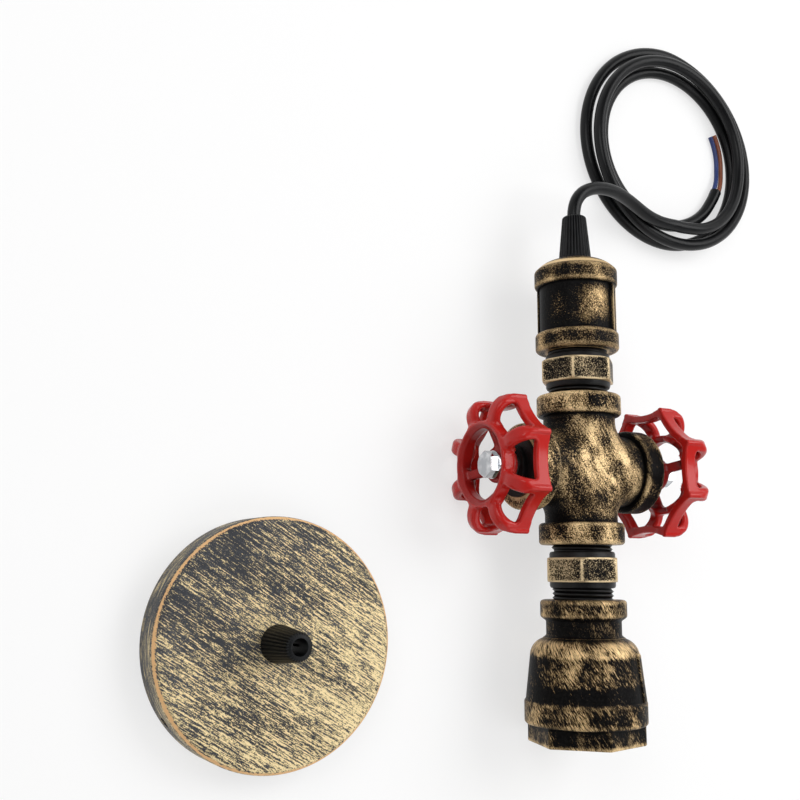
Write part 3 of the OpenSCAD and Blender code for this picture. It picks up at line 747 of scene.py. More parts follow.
class Rack:
    """All the finishes of the part, each made once."""

    def __init__(self) -> None:
        """Makes the materials."""
        self.casting = AntiqueFinish(
            "antique_cross", cover=0.02, speck=1.40, pale=(0.82, 0.605, 0.330),
            # Painted shadow: the second zone thins the gold on the near arm beside the near wheel,
            # where that wheel's shadow falls.
            zones=(Zone(0.0900, 0.1000, -0.22, 1), Zone(0.0325, 0.0425, -0.05, 1),
                   Zone(-0.0352, -0.0260, 0.02), Zone(0.0220, 0.0312, -0.04))).material()
        self.bell = AntiqueFinish(
            "antique_bell", cover=-0.13, hatch=1.7, hatch_scale=3500.0, hatch_long=30.0,
            wrapped=True, speck=0.55, speck_scale=2300.0, patch=1.15,
            zones=(Zone(0.0540, 0.0626, 0.08), Zone(0.0626, 0.0702, -0.08),
                   Zone(0.0712, 0.0782, 0.34), Zone(0.0900, 0.0962, -0.25),
                   Zone(0.0964, 0.1062, 0.04), Zone(0.1064, 0.1150, -0.01))).material()
        self.coupling = AntiqueFinish(
            "antique_coupling", cover=-0.06, hatch=0.12, speck=1.35, speck_scale=2300.0, patch=0.8,
            zones=(Zone(-0.0848, -0.0632, -0.22),),
            dabs=(Dab((-0.0740, 0.0640, 0.0455), 0.0160, 0.30),)).material()
        self.hexes = AntiqueFinish(
            "antique_hexagons", gold=(0.25, 0.190, 0.110), pale=(0.70, 0.545, 0.330), cover=-0.05,
            hatch=0.12, patch=0.70, speck=1.55, edge_gain=1.2, edge_reach=1.1 * MM,
            hollow_loss=0.9, hollow_reach=3.0 * MM,
            zones=(Zone(0.0340, 0.0500, 0.07),)).material()
        self.thread = AntiqueFinish(
            "blackened_thread", cover=-0.36, edge_gain=0.15, edge_reach=1.0 * MM,
            hollow_loss=0.2, patch=0.5, grain=0.12 * MM, shine=0.24).material()
        self.canopy = CanopyFinish("antique_canopy").material()
        self.enamel = EnamelFinish().material()
        self.chrome = MetalFinish(
            "bright_plating", (0.42, 0.435, 0.455), (0.66, 0.67, 0.685), 0.09).material()
        self.steel = MetalFinish(
            "zinc_plating", (0.44, 0.44, 0.43), (0.60, 0.60, 0.57), 0.30).material()
        self.brass = MetalFinish(
            "stamped_brass", (0.62, 0.40, 0.13), (0.78, 0.56, 0.24), 0.22).material()
        self.grip = MouldedFinish(
            "black_grip", (0.0032, 0.0036, 0.0042), (0.0125, 0.0135, 0.0150), 0.34,
            shine=0.18).material()
        self.jacket = JacketFinish(
            "black_jacket", (0.0018, 0.0020, 0.0025), (0.0050, 0.0055, 0.0063), 0.32,
            0.20).material()
        self.brown = JacketFinish(
            "brown_core", (0.245, 0.072, 0.034), (0.345, 0.115, 0.058), 0.38).material()
        self.blue = JacketFinish(
            "blue_core", (0.011, 0.024, 0.110), (0.025, 0.048, 0.190), 0.38).material()
        self.glaze = GlazeFinish().material()


# ----------------------------------------------------------------------------------------------
# Shapes


@dataclass(frozen=True)
class Bench:
    """The frames that pieces are drawn in, on the floor under the part."""

    x: float = -2.0
    y: float = 66.2
    axis_h: float = 29.2

    def floor(self, points: Points) -> Points:
        """From places round the cross and over the floor to metres in the part's frame."""
        return (np.asarray(points, float) + (self.x, self.y, 0.0)) * MM

    def lamp(self, points: Points) -> Points:
        """From a frame with Z along the lamp to its mouth, to metres in the part's frame."""
        p = np.asarray(points, float)
        return self.floor(np.stack([p[:, 2], p[:, 1], self.axis_h - p[:, 0]], 1))

    def wheel(self, points: Points, side: Side) -> Points:
        """From a wheel's frame to the part's frame.

        Args:
            points: Points with Z out along the wheel's axis, from the lamp's axis.
            side: Which wheel.

        Returns:
            The points in metres.
        """
        p = np.asarray(points, float)
        sign = -1.0 if side is Side.NEAR else 1.0
        return self.floor(np.stack([p[:, 0], sign * p[:, 2], self.axis_h - sign * p[:, 1]], 1))


class Shape:
    """Mesh helpers that every sub-assembly shares."""

    TUBE_CRISP = 50.0

    @staticmethod
    def put(name: str, data: bpy.types.ID) -> bpy.types.Object:
        """Makes an object at the origin and puts it in the scene.

        Args:
            name: The object's name.
            data: Its mesh, light or camera.

        Returns:
            The object.
        """
        obj = bpy.data.objects.new(name, data)
        bpy.context.scene.collection.objects.link(obj)
        return obj

    @classmethod
    def piece(cls, name: str, points: Points, faces: Sequence[Sequence[int]],
              finish: bpy.types.Material, crisp: float = 180.0) -> bpy.types.Object:
        """Makes an object at the origin from points and faces.

        Args:
            name: The piece's name.
            points: Its points in metres, in the part's frame.
            faces: Its faces.
            finish: Its material.
            crisp: Edges that turn by more degrees than this stay sharp.

        Returns:
            The object.
        """
        mesh = bpy.data.meshes.new(name)
        corners = [list(map(int, face)) for face in faces]
        mesh.from_pydata(np.asarray(points, float).tolist(), [], corners)
        mesh.validate()
        mesh.shade_smooth()
        if crisp < 180.0:
            mesh.set_sharp_from_angle(angle=math.radians(crisp))
        mesh.materials.append(finish)
        return cls.put(name, mesh)

    @staticmethod
    def note(obj: bpy.types.Object, name: str, values: Points) -> None:
        """Writes a value at each point of a piece for its finish to read.

        Args:
            obj: The piece.
            name: The attribute's name.
            values: One value, or one vector, for each point.
        """
        rows = np.asarray(values, np.float32)
        kind, key = ("FLOAT", "value") if rows.ndim == 1 else ("FLOAT_VECTOR", "vector")
        obj.data.attributes.new(name, kind, "POINT").data.foreach_set(key, rows.ravel())

    @staticmethod
    def ring(radius: Any, angles: Points, height: float) -> Points:
        """Points round an axis.

        Args:
            radius: Their distance from it, one for all or one for each.
            angles: Their angles.
            height: Their place along it.

        Returns:
            The points.
        """
        return np.stack([radius * np.cos(angles), radius * np.sin(angles),
                         np.full_like(angles, height)], 1)

    @staticmethod
    def rings(rows: int, sides: int, first: int = 0) -> list[list[int]]:
        """Faces between rows of points that close round.

        Args:
            rows: How many rows.
            sides: Points in each row.
            first: The index of the first point.

        Returns:
            The faces.
        """
        faces = []
        for i in range(rows - 1):
            for k in range(sides):
                a, b = first + i * sides + k, first + i * sides + (k + 1) % sides
                faces.append([a, b, b + sides, a + sides])
        return faces

    @staticmethod
    def curve(points: Points, step: float) -> Points:
        """A smooth curve through points.

        Args:
            points: Points on the curve.
            step: About how far apart its new points are.

        Returns:
            The denser points.
        """
        p = np.asarray(points, float)
        ends = np.vstack([2 * p[0] - p[1], p, 2 * p[-1] - p[-2]])
        out = []
        for i in range(1, len(ends) - 2):
            a, b, c, d = ends[i - 1:i + 3]
            count = max(1, round(float(np.linalg.norm(c - b)) / step))
            for t in np.arange(count) / count:
                out.append(0.5 * (2 * b + (c - a) * t + (2 * a - 5 * b + 4 * c - d) * t**2
                                  + (3 * b - a - 3 * c + d) * t**3))
        return np.vstack([out, p[-1]])

    @classmethod
    def tube(cls, name: str, path: Points, radius: float, sides: int,
             finish: bpy.types.Material) -> bpy.types.Object:
        """A round tube along a path, with flat ends and a UV map that runs along it.

        Args:
            name: The piece's name.
            path: The path's points, in millimetres.
            radius: The tube's radius in millimetres.
            sides: Points round it.
            finish: Its material.

        Returns:
            The object.
        """
        p = np.asarray(path, float)
        t = np.gradient(p, axis=0)
        t /= np.linalg.norm(t, axis=1)[:, None]
        u = np.cross(t, (0.0, 0.0, 1.0))
        u /= np.linalg.norm(u, axis=1)[:, None]
        v = np.cross(u, t)
        a = np.arange(sides) * 2 * math.pi / sides
        round_it = (np.cos(a)[None, :, None] * u[:, None, :]
                    - np.sin(a)[None, :, None] * v[:, None, :])
        ring = p[:, None, :] + radius * round_it
        points, count = ring.reshape(-1, 3), len(p)
        faces = cls.rings(count, sides)
        faces.append(list(range(sides))[::-1])
        faces.append([(count - 1) * sides + k for k in range(sides)])
        obj = cls.piece(name, Bench().floor(points), faces, finish, cls.TUBE_CRISP)
        steps = np.linalg.norm(np.diff(p, axis=0), axis=1)
        run = np.concatenate([[0.0], np.cumsum(steps)]) * MM
        uv = obj.data.uv_layers.new(name="run")
        for loop in obj.data.loops:
            row, k = divmod(loop.vertex_index, sides)
            fold = abs(2.0 * k / sides - 1.0)
            uv.data[loop.index].uv = (fold, run[row])
        return obj


class CastSkin:
    """The skin of a casting, drawn where a distance field on a grid of cells passes zero."""

    NEARLY = 1e-6
    EDGES = [((0, 0, 0), (1, 0, 0)), ((0, 1, 0), (1, 1, 0)), ((0, 0, 1), (1, 0, 1)),
             ((0, 1, 1), (1, 1, 1)), ((0, 0, 0), (0, 1, 0)), ((1, 0, 0), (1, 1, 0)),
             ((0, 0, 1), (0, 1, 1)), ((1, 0, 1), (1, 1, 1)), ((0, 0, 0), (0, 0, 1)),
             ((1, 0, 0), (1, 0, 1)), ((0, 1, 0), (0, 1, 1)), ((1, 1, 0), (1, 1, 1))]

    def __init__(self, low: Sequence[float], high: Sequence[float], cell: float) -> None:
        """Lays out the grid.

        Args:
            low: The grid's low corner.
            high: Its high corner.
            cell: The size of a cell.
        """
        self.low, self.cell = np.asarray(low, float), cell
        self.axes = [np.arange(a, b + cell, cell) for a, b in zip(low, high)]

    def draw(self, depth: Callable[[Points, Points, Points], Points]) -> tuple[Points, Points]:
        """Draws the skin.

        Args:
            depth: The distance field, below zero inside the casting.

        Returns:
            The skin's points and its four-sided faces.
        """
        f = depth(*np.meshgrid(*self.axes, indexing="ij"))
        f = np.where(np.abs(f) < self.NEARLY, self.NEARLY, f)
        shape = tuple(n - 1 for n in f.shape)

        def corner(c: Sequence[int]) -> Points:
            """The field at one corner of every cell."""
            return f[c[0]:c[0] + shape[0], c[1]:c[1] + shape[1], c[2]:c[2] + shape[2]]

        total, hits = np.zeros((*shape, 3)), np.zeros(shape)
        for a, b in self.EDGES:
            fa, fb = corner(a), corner(b)
            cross = (fa < 0) != (fb < 0)
            t = np.where(cross, fa / np.where(cross, fa - fb, 1.0), 0.0)
            for k in range(3):
                total[..., k] += np.where(cross, a[k] + t * (b[k] - a[k]), 0.0)
            hits += cross
        live = hits > 0
        index = np.full(shape, -1)
        index[live] = np.arange(int(live.sum()))
        at = np.argwhere(live)
        points = self.low + (at + total[live] / hits[live][:, None]) * self.cell
        return points, np.vstack([self._walls(f < 0, index, axis) for axis in range(3)])

    @staticmethod
    def _walls(inside: Points, index: Points, axis: int) -> Points:
        """Faces across the grid lines of one direction that pass through the skin.

        Args:
            inside: Which grid points lie inside.
            index: The skin point of each cell.
            axis: The direction of the lines.

        Returns:
            The faces.
        """
        b, c = (axis + 1) % 3, (axis + 2) % 3
        count = inside.shape[axis]
        first = np.take(inside, range(count - 1), axis)
        last = np.take(inside, range(1, count), axis)
        faces = []
        for out in (True, False):
            at = np.argwhere((first & ~last) if out else (~first & last))
            at = at[(at[:, b] > 0) & (at[:, b] < index.shape[b])
                    & (at[:, c] > 0) & (at[:, c] < index.shape[c])]
            corners = []
            for db, dc in ((1, 1), (0, 1), (0, 0), (1, 0)):
                cell = at.copy()
                cell[:, b] -= db
                cell[:, c] -= dc
                corners.append(index[cell[:, 0], cell[:, 1], cell[:, 2]])
            quad = np.stack(corners, 1)
            faces.append(quad if out else quad[:, ::-1])
        return np.vstack(faces)


def blend(a: Points, b: Points, round_by: float) -> Points:
    """Joins two distance fields with a fillet.

    Args:
        a: The first field.
        b: The second field.
        round_by: The fillet's size.

    Returns:
        The joined field.
    """
    h = np.clip(0.5 + 0.5 * (b - a) / round_by, 0.0, 1.0)
    return b + (a - b) * h - round_by * h * (1.0 - h)


def bar(a: Points, b: Points, round_by: float) -> Points:
    """A bar's field from how far a point lies outside it in two directions.

    Args:
        a: Distance past the bar's wall in the first direction.
        b: The same in the second direction.
        round_by: The rounding of the bar's edges.

    Returns:
        The field.
    """
    a, b = a + round_by, b + round_by
    outside = np.hypot(np.maximum(a, 0.0), np.maximum(b, 0.0))
    return outside + np.minimum(np.maximum(a, b), 0.0) - round_by


def ease(t: Any) -> Any:
    """A smooth step: 0 up to 0, and 1 from 1."""
    t = np.clip(t, 0.0, 1.0)
    return t * t * (3.0 - 2.0 * t)


def hexagon(angles: Points, across: float, worn: float) -> Points:
    """The radius of a hexagon with worn corners.

    Args:
        angles: Angles round it, from one of its corners.
        across: Its size across the flats.
        worn: How much its corners lose.

    Returns:
        The radius at each angle.
    """
    fold = angles % (math.pi / 3) - math.pi / 6
    return np.minimum(across / 2 / np.cos(fold), across / 2 / math.cos(math.pi / 6) - worn)


def paint(node: str, finish: bpy.types.Material) -> None:
    """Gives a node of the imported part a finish.

    Args:
        node: The node's name.
        finish: The material.
    """
    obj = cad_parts[node]
    obj.data.materials.clear()
    obj.data.materials.append(finish)
    LOG.info("node %s: %s", node, finish.name)


# ----------------------------------------------------------------------------------------------
# Sub-assemblies


@dataclass
class ThreadTurns:
    """Screw thread as one ridge wound along a spiral, made by Geometry Nodes."""

    name: str
    ridge_r: float
    depth: float
    pitch: float
    start: float
    turns: float
    sides: int = 4
    per_turn: int = 72

    def _tree(self) -> tuple[bpy.types.NodeTree, dict[str, str]]:
        """Builds the node tree.

        Returns:
            The tree, and the identifier of each named input.
        """
        tree = bpy.data.node_groups.new("thread_turns", "GeometryNodeTree")
        face = tree.interface
        face.new_socket("Geometry", in_out="OUTPUT", socket_type="NodeSocketGeometry")
        kinds = {"Ridge radius": "Float", "Ridge depth": "Float", "Pitch": "Float",
                 "Turns": "Float", "Start": "Vector", "Turned": "Vector", "Sides": "Int",
                 "Finish": "Material"}
        ids = {label: face.new_socket(label, in_out="INPUT",
                                      socket_type=f"NodeSocket{kind}").identifier
               for label, kind in kinds.items()}
        board = Board(tree)
        given = board.node("NodeGroupInput").outputs
        spiral = board.node("GeometryNodeCurveSpiral", None, {
            "Resolution": self.per_turn, "Rotations": given["Turns"],
            "Start Radius": given["Ridge radius"], "End Radius": given["Ridge radius"],
            "Height": Tone(board, given["Pitch"]) * given["Turns"]})
        upright = board.node("GeometryNodeSetCurveNormal", {"mode": "Z_UP"},
                             {"Curve": spiral.outputs[0]})
        section = board.node("GeometryNodeCurvePrimitiveCircle", None, {
            "Resolution": given["Sides"], "Radius": given["Ridge depth"]})
        sweep = board.node("GeometryNodeCurveToMesh", None, {
            "Curve": upright.outputs[0], "Profile Curve": section.outputs[0], "Fill Caps": True})
        placed = board.node("GeometryNodeTransform", None, {
            "Geometry": sweep.outputs[0], "Translation": given["Start"],
            "Rotation": given["Turned"]})
        real = board.node("GeometryNodeRealizeInstances", None, {"Geometry": placed.outputs[0]})
        dressed = board.node("GeometryNodeSetMaterial", None, {
            "Geometry": real.outputs[0], "Material": given["Finish"]})
        board.node("NodeGroupOutput", None, {0: dressed.outputs[0]})
        return tree, ids

    def build(self, bench: Bench, finish: bpy.types.Material) -> bpy.types.Object:
        """Winds the thread and makes it a plain mesh.

        Args:
            bench: The part's frames.
            finish: The thread's material.

        Returns:
            The thread, at the origin.
        """
        tree, ids = self._tree()
        holder = Shape.put(f"{self.name}_nodes", bpy.data.meshes.new(f"{self.name}_nodes"))
        modifier = holder.modifiers.new("turns", "NODES")
        modifier.node_group = tree
        start = bench.lamp(np.array([[0.0, 0.0, self.start]]))[0]
        values = {"Ridge radius": self.ridge_r * MM, "Ridge depth": self.depth * MM,
                  "Pitch": self.pitch * MM, "Turns": self.turns, "Start": tuple(start),
                  "Turned": (0.0, math.pi / 2, 0.0), "Sides": self.sides, "Finish": finish}
        for label, value in values.items():
            modifier[ids[label]] = value
        graph = bpy.context.evaluated_depsgraph_get()
        mesh = bpy.data.meshes.new_from_object(holder.evaluated_get(graph))
        holder.modifiers.remove(modifier)
        bpy.data.objects.remove(holder)
        mesh.name = self.name
        if not mesh.materials:
            mesh.materials.append(finish)
        return Shape.put(self.name, mesh)


@dataclass
class Nipple:
    """A hexagon nipple with a round collar on each side, and thread that shows at both ends.

    The hexagon's profile lists, from one end inwards, the place of each row, how far its corners
    reach past its flats, with None for the row at the thread's root, and how far it is set in.
    """

    name: str
    hex_x: float
    turn: float
    ends: tuple[float, float]
    shows: tuple[tuple[float, float], ...]
    thread_d: float = 26.4
    root_d: float = 24.4
    bore_d: float = 19.0
    across: float = 29.8
    worn: float = 0.15
    border: float = 0.9
    hex_l: float = 10.5
    collar_d: float = 28.4
    collar_l: float = 2.6
    pitch: float = 1.814
    crest: float = 0.92
    sides: int = 144
    crisp: float = 32.0
    profile: tuple[tuple[float, float | None, float], ...] = (
        (0.0, None, 0.0), (0.0, 0.6, 0.35), (0.12, 0.9, 0.12), (0.35, 1.3, 0.0), (0.8, 1.8, 0.0),
        (1.3, 9.0, 0.0))

    def _hexagon(self) -> tuple[Points, list[list[int]]]:
        """The hexagon with its corners turned off at both ends.

        Returns:
            Points in the lamp's frame and faces.
        """
        fold = np.arange(self.sides) * 2 * math.pi / self.sides
        flat = hexagon(fold, self.across, self.worn)
        rows = [*self.profile]
        rows += [(self.hex_l - z, past, inset) for z, past, inset in self.profile[::-1]]
        points = []
        for z, past, inset in rows:
            r = self.root_d / 2
            if past is not None:
                r = np.minimum(flat, self.across / 2 + past) - inset
            points.append(Shape.ring(r, fold + math.radians(self.turn), self.hex_x + z))
        return np.vstack(points), Shape.rings(len(rows), self.sides)

    def _border(self, points: Points) -> Points:
        """How close each point of the hexagon lies to one of its edges.

        Args:
            points: The hexagon's points in the lamp's frame.

        Returns:
            1 at an edge, and 0 from the border's width away.
        """
        turn = np.arctan2(points[:, 1], points[:, 0]) - math.radians(self.turn)
        corner = np.abs((turn + math.pi / 6) % (math.pi / 3) - math.pi / 6) * self.across / 2
        end = np.minimum(points[:, 2] - self.hex_x, self.hex_x + self.hex_l - points[:, 2])
        return np.clip(1.0 - np.minimum(corner, end) / self.border, 0.0, 1.0)

    def _pipe(self) -> tuple[Points, list[list[int]]]:
        """The pipe under the thread, with its collar and bore.

        Returns:
            Points in the lamp's frame and faces.
        """
        a = np.arange(self.sides) * 2 * math.pi / self.sides
        x0, x1 = self.ends
        low, high = self.hex_x - self.collar_l, self.hex_x + self.hex_l + self.collar_l
        root, collar, bore = self.root_d / 2, self.collar_d / 2, self.bore_d / 2
        rows = [(bore, x0), (root - 0.6, x0), (root, x0 + 0.8), (root, low - 0.1),
                (collar - 1.0, low), (collar - 0.35, low + 0.25), (collar, low + 1.0),
                (collar, high - 1.0), (collar - 0.35, high - 0.25), (collar - 1.0, high),
                (root, high + 0.1), (root, x1 - 0.8), (root - 0.6, x1), (bore, x1), (bore, x0)]
        points = [Shape.ring(r, a, z) for r, z in rows]
        return np.vstack(points), Shape.rings(len(rows), self.sides)

    def build(self, bench: Bench, rack: Rack) -> list[bpy.types.Object]:
        """Builds and dresses the nipple.

        Args:
            bench: The part's frames.
            rack: The finishes.

        Returns:
            Its pieces.
        """
        points, faces = self._hexagon()
        hexes = Shape.piece(f"{self.name}_hexagon", bench.lamp(points), faces, rack.hexes,
                            self.crisp)
        Shape.note(hexes, "border", self._border(points))
        points, faces = self._pipe()
        pieces = [hexes, Shape.piece(f"{self.name}_pipe", bench.lamp(points), faces, rack.thread,
                                     self.crisp)]
        depth = (self.thread_d - self.root_d) / 2 * self.crest
        for k, (a, b) in enumerate(self.shows):
            turns = ThreadTurns(f"{self.name}_thread_{k}", self.thread_d / 2 - depth, depth,
                                self.pitch, a, (b - a) / self.pitch)
            pieces.append(turns.build(bench, rack.thread))
        for obj in pieces:
            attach(obj, "lamp")
        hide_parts(self.name)
        return pieces


@dataclass
class BellCasting:
    """The bell reducer: bead, neck, shoulder, flared body with two ribs, band and hexagon."""

    top: float = 56.5
    bead_r: float = 18.6
    bead_w: float = 8.0
    neck_r: float = 16.2
    neck_end: float = 72.5
    shoulder_r: float = 8.0
    body_r: float = 23.4
    flare: float = 2.0
    band: float = 98.0
    band_r: float = 26.1
    band_w: float = 10.5
    across: float = 43.8
    worn: float = 0.2
    hex_turn: float = 15.0
    mouth: float = 116.5
    edge_r: float = 1.6
    fillet: float = 1.4
    rib_w: float = 4.0
    rib_h: float = 0.8
    rib_turn: float = 145.0
    rib_side: float = 0.5
    rib_start: float = 3.2
    rib_fade: float = 2.4
    rib_end: float = 0.8
    rib_reach: float = 7.0
    rib_rows: int = 41
    mouth_edge: float = 0.4
    hex_over: float = 0.5
    gap: float = 0.02
    sides: int = 240
    crisp: float = 34.0
    bore: tuple[tuple[float, float], ...] = (
        (20.0, 116.5), (20.0, 81.0), (17.5, 81.0), (17.5, 79.0), (13.4, 71.5), (13.4, 56.5))

    def _disc(self, x: Points, start: float, width: float, radius: float) -> Points:
        """The radius of a disc with rounded edges.

        Args:
            x: Places along the lamp.
            start: Where the disc starts.
            width: Its width.
            radius: Its radius.

        Returns:
            The radius at each place, and 0 past the disc's ends.
        """
        inside = np.minimum(x - start, start + width - x)
        short = np.clip(self.edge_r - inside, 0.0, self.edge_r)
        edge = radius - self.edge_r + np.sqrt(self.edge_r**2 - short**2)
        return np.where(inside >= 0.0, edge, 0.0)

    def _outside(self, x: Points) -> Points:
        """The radius of the round body.

        Args:
            x: Places along the lamp.

        Returns:
            The radius at each place.
        """
        shoulder, bead_end = self.neck_end + self.shoulder_r, self.top + self.bead_w
        near_end = np.minimum(np.abs(x - bead_end), np.abs(x - self.neck_end))
        swell = self.fillet * np.clip(1.0 - near_end / self.fillet, 0.0, 1.0) ** 2
        neck = np.where(x < shoulder, self.neck_r + swell, 0.0)
        arc = (self.body_r - self.shoulder_r
               + np.sqrt(np.maximum(self.shoulder_r**2 - (shoulder - x)**2, 0.0)))
        body = self.body_r + self.flare * (x - shoulder) / (self.band - shoulder)
        return np.maximum.reduce([
            self._disc(x, self.top, self.bead_w, self.bead_r), neck,
            np.where((x >= self.neck_end) & (x < shoulder), arc, 0.0),
            np.where((x >= shoulder) & (x < self.band + self.edge_r), body, 0.0),
            self._disc(x, self.band, self.band_w, self.band_r)])

    def _stations(self) -> Points:
        """Places along the casting for its rows of points, close together where it turns.

        Returns:
            The places.
        """
        bead_end, shoulder = self.top + self.bead_w, self.neck_end + self.shoulder_r
        band_end, edge = self.band + self.band_w, self.edge_r
        stretches = (
            (self.top, self.top + edge, 9), (bead_end - edge, bead_end, 9),
            (bead_end + self.gap, bead_end + 1.5, 7), (bead_end + 2.5, self.neck_end - 1.5, 4),
            (self.neck_end - self.fillet, self.neck_end, 7), (self.neck_end + 0.05, shoulder, 24),
            (shoulder, self.band - 0.6, 12), (self.band - 0.4, self.band + edge, 12),
            (band_end - edge, band_end, 9), (band_end + self.gap, self.mouth - 0.6, 6),
            (self.mouth - 0.5, self.mouth, 4))
        return np.unique(np.concatenate([np.linspace(*stretch) for stretch in stretches]))

    def _mesh(self) -> tuple[Points, list[list[int]]]:
        """The whole casting, from its bore at the top round to its bore again.

        Returns:
            Points in the lamp's frame and faces.
        """
        x, shoulder = self._stations(), self.neck_end + self.shoulder_r
        corner, turn = math.radians(self.hex_turn), math.radians(self.rib_turn)
        rib = np.radians(np.linspace(-self.rib_reach, self.rib_reach, self.rib_rows))
        even = corner + np.arange(self.sides) * math.pi / (self.sides / 2)
        a = np.concatenate([even, turn + rib, turn + math.pi + rib])
        a = np.unique(np.round(a % (2 * math.pi), 5))
        r = np.repeat(self._outside(x)[:, None], len(a), 1)
        side = np.abs(r * np.sin(a - turn)[None, :])
        wide = ease((self.rib_w / 2 + self.rib_side / 2 - side) / self.rib_side)
        along = ease(np.clip((x - shoulder + self.rib_start) / self.rib_fade, 0.0, 1.0)
                     * np.clip((self.band + self.rib_end - x) / self.rib_end, 0.0, 1.0))
        r += self.rib_h * along[:, None] * wide
        flat = hexagon(a - corner, self.across, self.worn)
        end = np.clip(x - self.mouth + self.mouth_edge, 0.0, self.mouth_edge)[:, None]
        below = x > self.band + self.band_w - self.hex_over
        r = np.where(below[:, None], np.maximum(r, flat[None, :] - end), r)
        rows = [(self.bore[-1][0], self.top), *zip(r, x), *self.bore]
        points = np.vstack([Shape.ring(radius, a, z) for radius, z in rows])
        return points, Shape.rings(len(rows), len(a))

    def build(self, bench: Bench, rack: Rack) -> bpy.types.Object:
        """Builds and dresses the bell.

        Args:
            bench: The part's frames.
            rack: The finishes.

        Returns:
            The bell.
        """
        points, faces = self._mesh()
        obj = Shape.piece("bell_casting", bench.lamp(points), faces, rack.bell, self.crisp)
        round_it = -np.arctan2(-points[:, 1], -points[:, 0]) * self.body_r
        Shape.note(obj, "wrap", np.stack([points[:, 2], round_it, 0.0 * round_it], 1) * MM)
        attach(obj, "lamp")
        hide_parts("bell_reducer")
        return obj


@dataclass
class LampBody:
    """The cast fittings on the lamp's axis and the nipples between them."""

    upper: Nipple = field(default_factory=lambda: Nipple(
        "upper_nipple", -49.0, 45.0, (-66.0, -20.0), ((-54.6, -51.8), (-35.7, -32.0))))
    lower: Nipple = field(default_factory=lambda: Nipple(
        "lower_nipple", 38.5, 39.0, (20.0, 69.5), ((32.0, 35.7), (51.8, 58.0))))
    bell: BellCasting = field(default_factory=BellCasting)
    plugs: tuple[str, ...] = ("port_plug_near", "port_plug_far")

    def build(self, bench: Bench, rack: Rack) -> None:
        """Dresses the castings and builds the bell and the nipples.

        Args:
            bench: The part's frames.
            rack: The finishes.
        """
        bell = self.bell.build(bench, rack)
        LOG.info("%s: %d faces", bell.name, len(bell.data.polygons))
        paint("pipe_cross", rack.casting)
        for name in ("coupling", "top_bushing"):
            paint(name, rack.coupling)
        for name in self.plugs:
            paint(name, rack.thread)
        for nipple in (self.upper, self.lower):
            for obj in nipple.build(bench, rack):
                LOG.info("nipple piece %s: %d faces", obj.name, len(obj.data.polygons))


